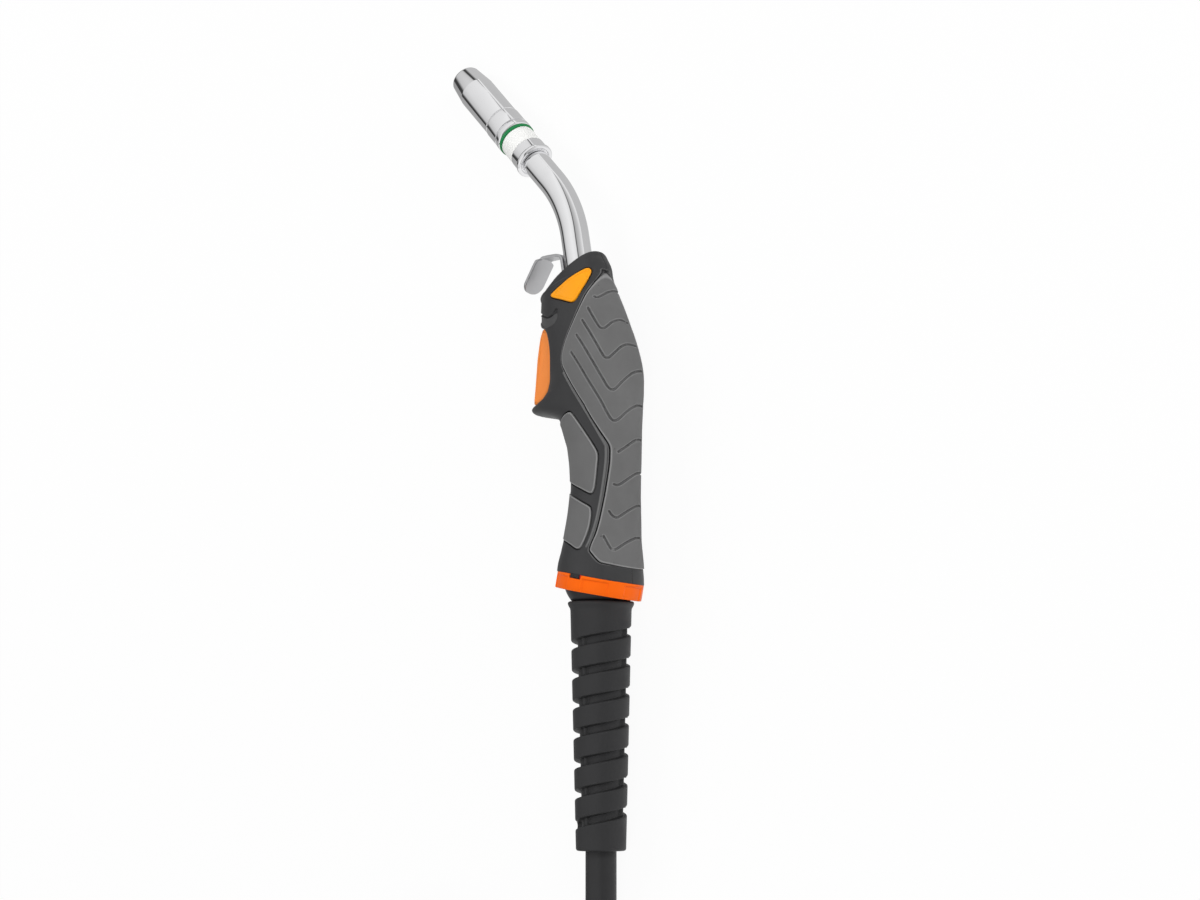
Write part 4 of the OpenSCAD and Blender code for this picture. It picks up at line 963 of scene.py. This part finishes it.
TAB_TOP, TAB_END = np.array([37.6, 163.6]), np.array([48.0, 148.4])
hook_line = [beside_neck(147.0), beside_neck(154.0), beside_neck(161.0)]
c0 = np.array([beside_neck(161)[0] + 3, 161.0])
hook_line += [c0 + 3 * np.array([math.cos(rad(a)), math.sin(rad(a))]) for a in (160, 140, 120, 100)]
hook_line += [np.array([27.5, 164.3]), np.array([32.5, 164.5])]
c1 = TAB_TOP + [-1.6, -0.75]
hook_line += [c1 + 1.6 * np.array([math.cos(rad(a)), math.sin(rad(a))]) for a in (85, 68, 52, 38)]
hook_line += [TAB_TOP + (TAB_END - TAB_TOP) * k
              for k in (0.18, 0.3, 0.45, 0.6, 0.72, 0.8, 0.86, 0.91, 0.95, 0.98, 1.0)]
hook_line = np.array(hook_line)
tab_len = np.linalg.norm(TAB_END - TAB_TOP)


def hook_half(p):
    s = float((p - TAB_TOP) @ (TAB_END - TAB_TOP)) / tab_len
    if p[0] < TAB_TOP[0] - 0.6:
        return 3.8
    if s < 1.8:
        return 3.8 + 2.7 * math.sqrt(max(0, 1 - ((1.8 - max(s, 0)) / 1.8) ** 2))
    rest = tab_len - s
    return 6.5 if rest > 5.5 else 1.0 + math.sqrt(max(0, 5.5 ** 2 - (5.5 - rest) ** 2))


fine = [hook_line[0]]
for a, b in zip(hook_line[:-1], hook_line[1:]):
    n = max(1, int(np.linalg.norm(b - a) / 0.5))
    fine += [a + (b - a) * (i + 1) / n for i in range(n)]
fine = np.array(fine)
tan = unit(np.gradient(fine, axis=0))
nor = np.stack([-tan[:, 1], tan[:, 0]], 1)
# round the strip's section: which edge, how far in from it, and how far out from the middle
HOOK_SECTION = ((-1, 0.35, 0.75), (1, 0.35, 0.75), (1, 0.08, 0.6), (1, 0, 0.3), (1, 0, -0.3), (1, 0.08, -0.6),
                (1, 0.35, -0.75), (-1, 0.35, -0.75), (-1, 0.08, -0.6), (-1, 0, -0.3), (-1, 0, 0.3),
                (-1, 0.08, 0.6))
hv = []
for p, n in zip(fine, nor):
    w = hook_half(p)
    for side, inset, out in HOOK_SECTION:
        q = p + n * out
        hv.append((q[0], side * (w - inset), q[1]))
c = len(HOOK_SECTION)
hf = grid_faces(len(fine), c)
hf += [tuple(range(c))[::-1], tuple(range((len(fine) - 1) * c, len(fine) * c))]
sharpen(make("hook_strip", hv, hf, "hook_steel", "handle", "hanging_hook"), 18)

# ---------------------------------------------------------------- neck and nozzle
BEND_STEPS = 26
c_bend = neck_at + np.array([math.cos(lean), 0, -math.sin(lean)]) * NECK_BEND_R
neck_pts = [neck_at - neck_dir * d for d in (40, 25, 12, 6, 2)]
for i in range(BEND_STEPS + 1):
    a = lean + rad(NECK_BEND) * i / BEND_STEPS
    neck_pts.append(c_bend + NECK_BEND_R * np.array([-math.cos(a), 0, math.sin(a)]))
neck_pts += [along_neck(np.array([0, 0, d])) for d in (2.0, 6.0, 10.0, 14.0, 18.0)]
nv, nf = sweep(neck_pts, NECK_D / 2, 96)
make("neck_chrome", nv, nf, "chrome_plate", "handle", "swan_neck")


def turned(name, start, profile, rounding, slot, body, replaced):
    """A turned piece on the nozzle's axis, from (r, z) points with z from start."""
    v, f = lathe(round_profile([(r, start + z) for r, z in profile], rounding), 128)
    make(name, along_neck(v), f, slot, body, replaced)


COLLAR_LEN, INSULATOR_LEN, NOZZLE_LAP = 8.8, 10.2, 1.1
INSULATOR_AT = NECK_END + COLLAR_LEN
MARKER_AT = INSULATOR_AT + INSULATOR_LEN
NOZZLE_AT = MARKER_AT - NOZZLE_LAP
turned("collar_chrome", NECK_END,
       [(7.14, 1.7), (7.9, 1.7), (7.9, 0.9), (8.3, 0.6), (9.3, 0.5), (10, 1.2), (10, 2.3), (9.7, 2.8),
        (9.4, 3.0), (9.4, 8.5), (9.2, COLLAR_LEN), (6, COLLAR_LEN)],
       0.3, "chrome_plate", "handle", "neck_collar")
turned("insulator_white", INSULATOR_AT,
       [(6, 0), (8.7, 0), (9.2, 0.4), (9.2, 9.9), (8.9, INSULATOR_LEN), (6, INSULATOR_LEN)],
       0.25, "ceramic_white", "handle", "insulator_ring")
turned("marker_band", MARKER_AT, [(6, 0), (9.4, 0), (9.8, 0.25), (9.8, 1.35), (9.55, 1.8), (6, 1.8)],
       0.2, "marker_green", "handle", "marker_ring")
# radius, height and rounding of each corner
NOZZLE = [
    (6.1, 3.15, 0), (9.3, 3.15, 0.3), (9.9, 3.6, 0.5), (9.9, 6.1, 0.2), (9.75, 6.35, 0.15),
    (9.1, 6.45, 0.15), (9.1, 7.15, 0.1), (9.72, 7.3, 0.15), (9.72, 16.1, 0.2), (9.6, 16.4, 0.12),
    (9.05, 16.5, 0.1), (9.05, 17.1, 0.1), (9.42, 17.3, 0.15), (9.42, 43.5, 5.0), (7.85, 55.2, 0.5),
    (7.45, 55.95, 0.25), (7.1, 56, 0.2), (6.2, 56, 0.25), (6.0, 55.7, 0.3), (6.0, 49, 3),
    (7.6, 38, 3), (7.6, 18, 0)]
turned("nozzle_chrome", NOZZLE_AT, [c[:2] for c in NOZZLE], [c[2] for c in NOZZLE],
       "chrome_plate", "nozzle", "gas_nozzle")
# a thin copper line in the nozzle's first groove, kept only on the side that the camera sees, where it is a
# painted glint; the copper in the groove is the nozzle's own
gv, gf = lathe([(9.12, NOZZLE_AT + 6.5), (9.17, NOZZLE_AT + 6.8), (9.12, NOZZLE_AT + 7.1)], 96)
gv = along_neck(gv)
gv_w = world(gv) - world(gv).mean(0)
gf = [f for f in gf if np.dot(gv_w[list(f)].mean(0), SIDE_WAY) < -0.0078]
make("copper_glint_line", gv, gf, "copper_alloy", "nozzle")

# ---------------------------------------------------------------- lock ring and ball
RING_TOP, RING_H, RING_R = -0.3, 8.0, 21.2
PAD_ANGLE, PADS, PAD_TURN, PAD_EASE, PAD_H = 96, 6, 24, 0.9, 0.6
NOTCH_W, NOTCH_H = 7.0, 2.0
ring_q = np.arange(720) / 2.0
pad_step = 360 / PADS
pad_off = np.abs((ring_q - PAD_ANGLE + pad_step / 2) % pad_step - pad_step / 2)
pad = np.clip((PAD_TURN / 2 + PAD_EASE - pad_off) / (2 * PAD_EASE), 0, 1)
pad = pad * pad * (3 - 2 * pad)
low_z, notch_z = RING_TOP - RING_H, RING_TOP - NOTCH_H
ring_profile = [(r, low_z + z) for r, z in (
    (18.5, 0.6), (18.9, 0.1), (19.6, 0), (20.6, 0), (21.0, 0.12), (21.2, 0.5), (21.2, 3), (21.2, 5))]
ring_profile += [(r, RING_TOP - z) for r, z in (
    (21.2, 2.3), (21.2, 1.9), (21.2, 1.6), (21.2, 1.2), (21.2, 0.35), (21.08, 0.1), (20.85, 0),
    (19.6, 0), (18.6, 0))]
off_notch = np.abs((ring_q - PAD_ANGLE + 180) % 360 - 180) * math.pi / 180 * RING_R
notch = np.clip((NOTCH_W / 2 + 0.15 - off_notch) / 0.3, 0, 1)
rv = []
for r, z in ring_profile:
    low = np.interp(z, [low_z, RING_TOP - 1.9, RING_TOP - 1.2, RING_TOP], [1, 1, 0.0, 0.0])
    rr = np.where(r > 20, r - PAD_H * (1 - pad) * low, r)
    zz = z - max(0, z - notch_z) * notch
    rv.append(np.stack([rr * np.cos(np.radians(ring_q)), rr * np.sin(np.radians(ring_q)), zz], 1))
rf = grid_faces(len(ring_profile), len(ring_q))
sharpen(make("lock_ring_body", at_base(np.concatenate(rv)), rf, "trigger_plastic", "ring", "lock_ring",
             mat="ring_plastic"), 38)

# the black stop and the red mark in the ring's notch, which turn with the ring
q0 = rad(PAD_ANGLE)
e_r, e_t = np.array([math.cos(q0), math.sin(q0), 0]), np.array([-math.sin(q0), math.cos(q0), 0])


def ring_block(name, slot, r1, t0, t1, z0, bevel):
    """A block in the notch, from t0 to t1 along the ring, with its outer edge bevelled."""
    r0, z1 = 18.6, RING_TOP + 0.2
    poly = densify(round_outline([(t0, z0), (t1, z0), (t1, z1), (t0, z1)], bevel, 3), 1.0)
    rings = []
    for r, inset in ((r0, 0), (r1 - bevel, 0), (r1 - bevel * 0.3, bevel * 0.3), (r1, bevel)):
        q = offset_in(poly, inset)
        rings.append(e_r * r + e_t * q[:, :1] + np.array([0, 0, 1.0]) * q[:, 1:])
    n = len(poly)
    faces = grid_faces(4, n) + [tuple(range(3 * n, 4 * n))]
    make(name, at_base(np.concatenate(rings)), faces, slot, "ring")


ring_block("ring_stop", "inner_plastic", 20.9, -2.9, 2.3, RING_TOP - 1.8, 0.25)
ring_block("ring_mark", "button_plastic", 20.5, 2.45, 3.3, RING_TOP - 1.7, 0.15)

BALL_R = 18.3
ball_profile = [(BALL_R * math.cos(a), BALL_R * math.sin(a)) for a in np.linspace(rad(46), rad(-36.6), 40)]
ball_profile += [(14.4, -11.25), (13.9, -11.35), (10.3, -11.35)]
bv, bf = lathe([(r, -z) for r, z in ball_profile], 128)
make("swivel_ball_body", at_relief(bv), bf, "ball_plastic", "swivel", "swivel_ball")

# ---------------------------------------------------------------- spiral bend relief
LIP_TOP, LIP_H = 11.7, 4.3
RELIEF_END, TOP_D, END_D = 131.5, 29.7, 24.2
G_FIRST, G_FROM, G_STEP, G_TURNS = 25.0, 247.0, 14.35, 6.6


def relief_r(z):
    return (TOP_D + (END_D - TOP_D) * (z - LIP_TOP - LIP_H) / (RELIEF_END - LIP_TOP - LIP_H)) / 2


prof = [(r, LIP_TOP + z) for r, z in (
    (10.2, 0.15), (14.2, 0.1), (15.3, 0.0), (15.75, 0.15), (16.0, 0.5), (16.1, 1.0), (16.0, 1.5),
    (15.75, 2.1), (15.35, 2.8), (15.0, 3.5), (14.88, 4.2))]
prof += [(relief_r(z), z) for z in (
    LIP_TOP + LIP_H + 0.6, *np.linspace(LIP_TOP + LIP_H + 0.9, RELIEF_END - 1.3, 230))]
end_r = relief_r(RELIEF_END)
prof += [(end_r - dr, RELIEF_END - dz) for dr, dz in ((0, 1.0), (0.12, 0.6), (0.45, 0.2), (0.9, 0))]
prof += [(8.6, RELIEF_END), (8.25, RELIEF_END - 0.3), (8.2, RELIEF_END - 4)]
bv, bq = lathe(prof, 180)
bt = triangles(bq)


def spiral(P):
    """Distance to the groove's centre line along the surface, and the turn at the nearest spot."""
    q = np.degrees(np.arctan2(P[:, 1], P[:, 0]))
    r = np.hypot(P[:, 0], P[:, 1])
    best = np.full(len(P), FAR)
    at = np.zeros(len(P))
    base = ((G_FROM - q) % 360) / 360
    for k in range(-1, 8):
        t = base + k
        c = np.clip(t, 0, G_TURNS)
        d = np.hypot((P[:, 2] - G_FIRST - G_STEP * c) * 0.985, (t - c) * 2 * math.pi * r)
        m = d < best
        best[m], at[m] = d[m], c[m]
    return best, at


for lv in (3.0, 2.6, 2.3, 2.12, 2.0, 1.88, 1.78):
    bv, bt = split_at(bv, bt, lambda P: spiral(P)[0], lv)
dist, turn_at = spiral(bv)
rr = np.hypot(bv[:, 0], bv[:, 1])
drop = np.interp(dist, [1.70, 1.78, 1.88, 2.0, 2.12, 2.3, 2.6, 3.0],
                 [3.2, 3.0, 1.9, 1.0, 0.5, 0.22, 0.05, 0])
# three webs a turn cross the groove
web = np.abs(((turn_at + 0.06) * 3) % 1 - 0.5) * 2 / 3 * 2 * math.pi * 12.5 / 2
drop = np.where(dist < 1.9, drop - np.clip((1.3 - web) / 0.5, 0, 1) * 1.5, drop)
inside = (bv[:, 2] > LIP_TOP + LIP_H) & (bv[:, 2] < RELIEF_END - 1.2)
bv[:, :2] *= np.where(inside, (rr - drop) / rr, 1.0)[:, None]
make("bend_relief_body", at_relief(bv), bt, "relief_rubber", "cable_assembly", "bend_relief")


# ---------------------------------------------------------------- power cable
CABLE_D = 15.0
RELIEF_WAY = turn(at_relief(np.array([0, 0, 1.0])))
CABLE_LOW = 9.2
COIL_MEAN_D = 155.0
COIL_TURNS = 5
COIL_STEP = 15.6
COIL_LAYER = 15.5


def on_axis(d):
    return SHIFT / MM + RELIEF_WAY * d


def smooth_step(t):
    t = max(0.0, min(1.0, t))
    return t * t * (3 - 2 * t)


route = [on_axis(d) for d in (-7.9, 12, 50, 90, 132, 155, 176)]
route += [np.array([SHIFT[0] / MM + x, SHIFT[1] / MM + y, CABLE_LOW])
          for x, y in ((-201, 8.4), (-227, 9.2), (-247.5, 9.6))]
coil_start = route[-1]
coil_r = COIL_MEAN_D / 2 + COIL_TURNS / 2 * COIL_STEP / 2
coil_centre = coil_start + np.array([-CABLE_D, coil_r, 0])


def coil_point(q):
    half = 180 * COIL_TURNS
    r = coil_r - COIL_STEP * (q if q < half else 2 * half - q) / 360
    z = COIL_LAYER * smooth_step((q - half + 90) / 180)
    return coil_centre + np.array([-r * math.sin(rad(q)), -r * math.cos(rad(q)), z])


COIL_SIDE = 24
coil = [coil_point(360 * i / COIL_SIDE) for i in range(COIL_SIDE * COIL_TURNS + 1)]
coil_end = coil[-1] + np.array([-CABLE_D, 0, 0])
plug_at = coil_end + np.array([-46, 0, 0])
PLUG_H, PLUG_RELIEF, PLUG_LEN = 22.55, 26, 60
cable_stop = PLUG_RELIEF + PLUG_LEN - 24 + 11
tail = [coil_end + np.array([-20, 0, (PLUG_H - coil_end[2]) / 3]),
        np.array([plug_at[0] + 4, plug_at[1], PLUG_H]),
        np.array([plug_at[0] - cable_stop, plug_at[1], PLUG_H])]
cord_fine = catmull(np.array(route + coil + [coil_end] + tail), 3)
cv, cf = sweep(cord_fine, CABLE_D / 2, 40, up=(0, 0, 1))
cable_ob = make("power_cable", cv * MM, cf, "cable_jacket", "cable_assembly",
                "cable", "cable_coil", "cable_tail", bench=True)
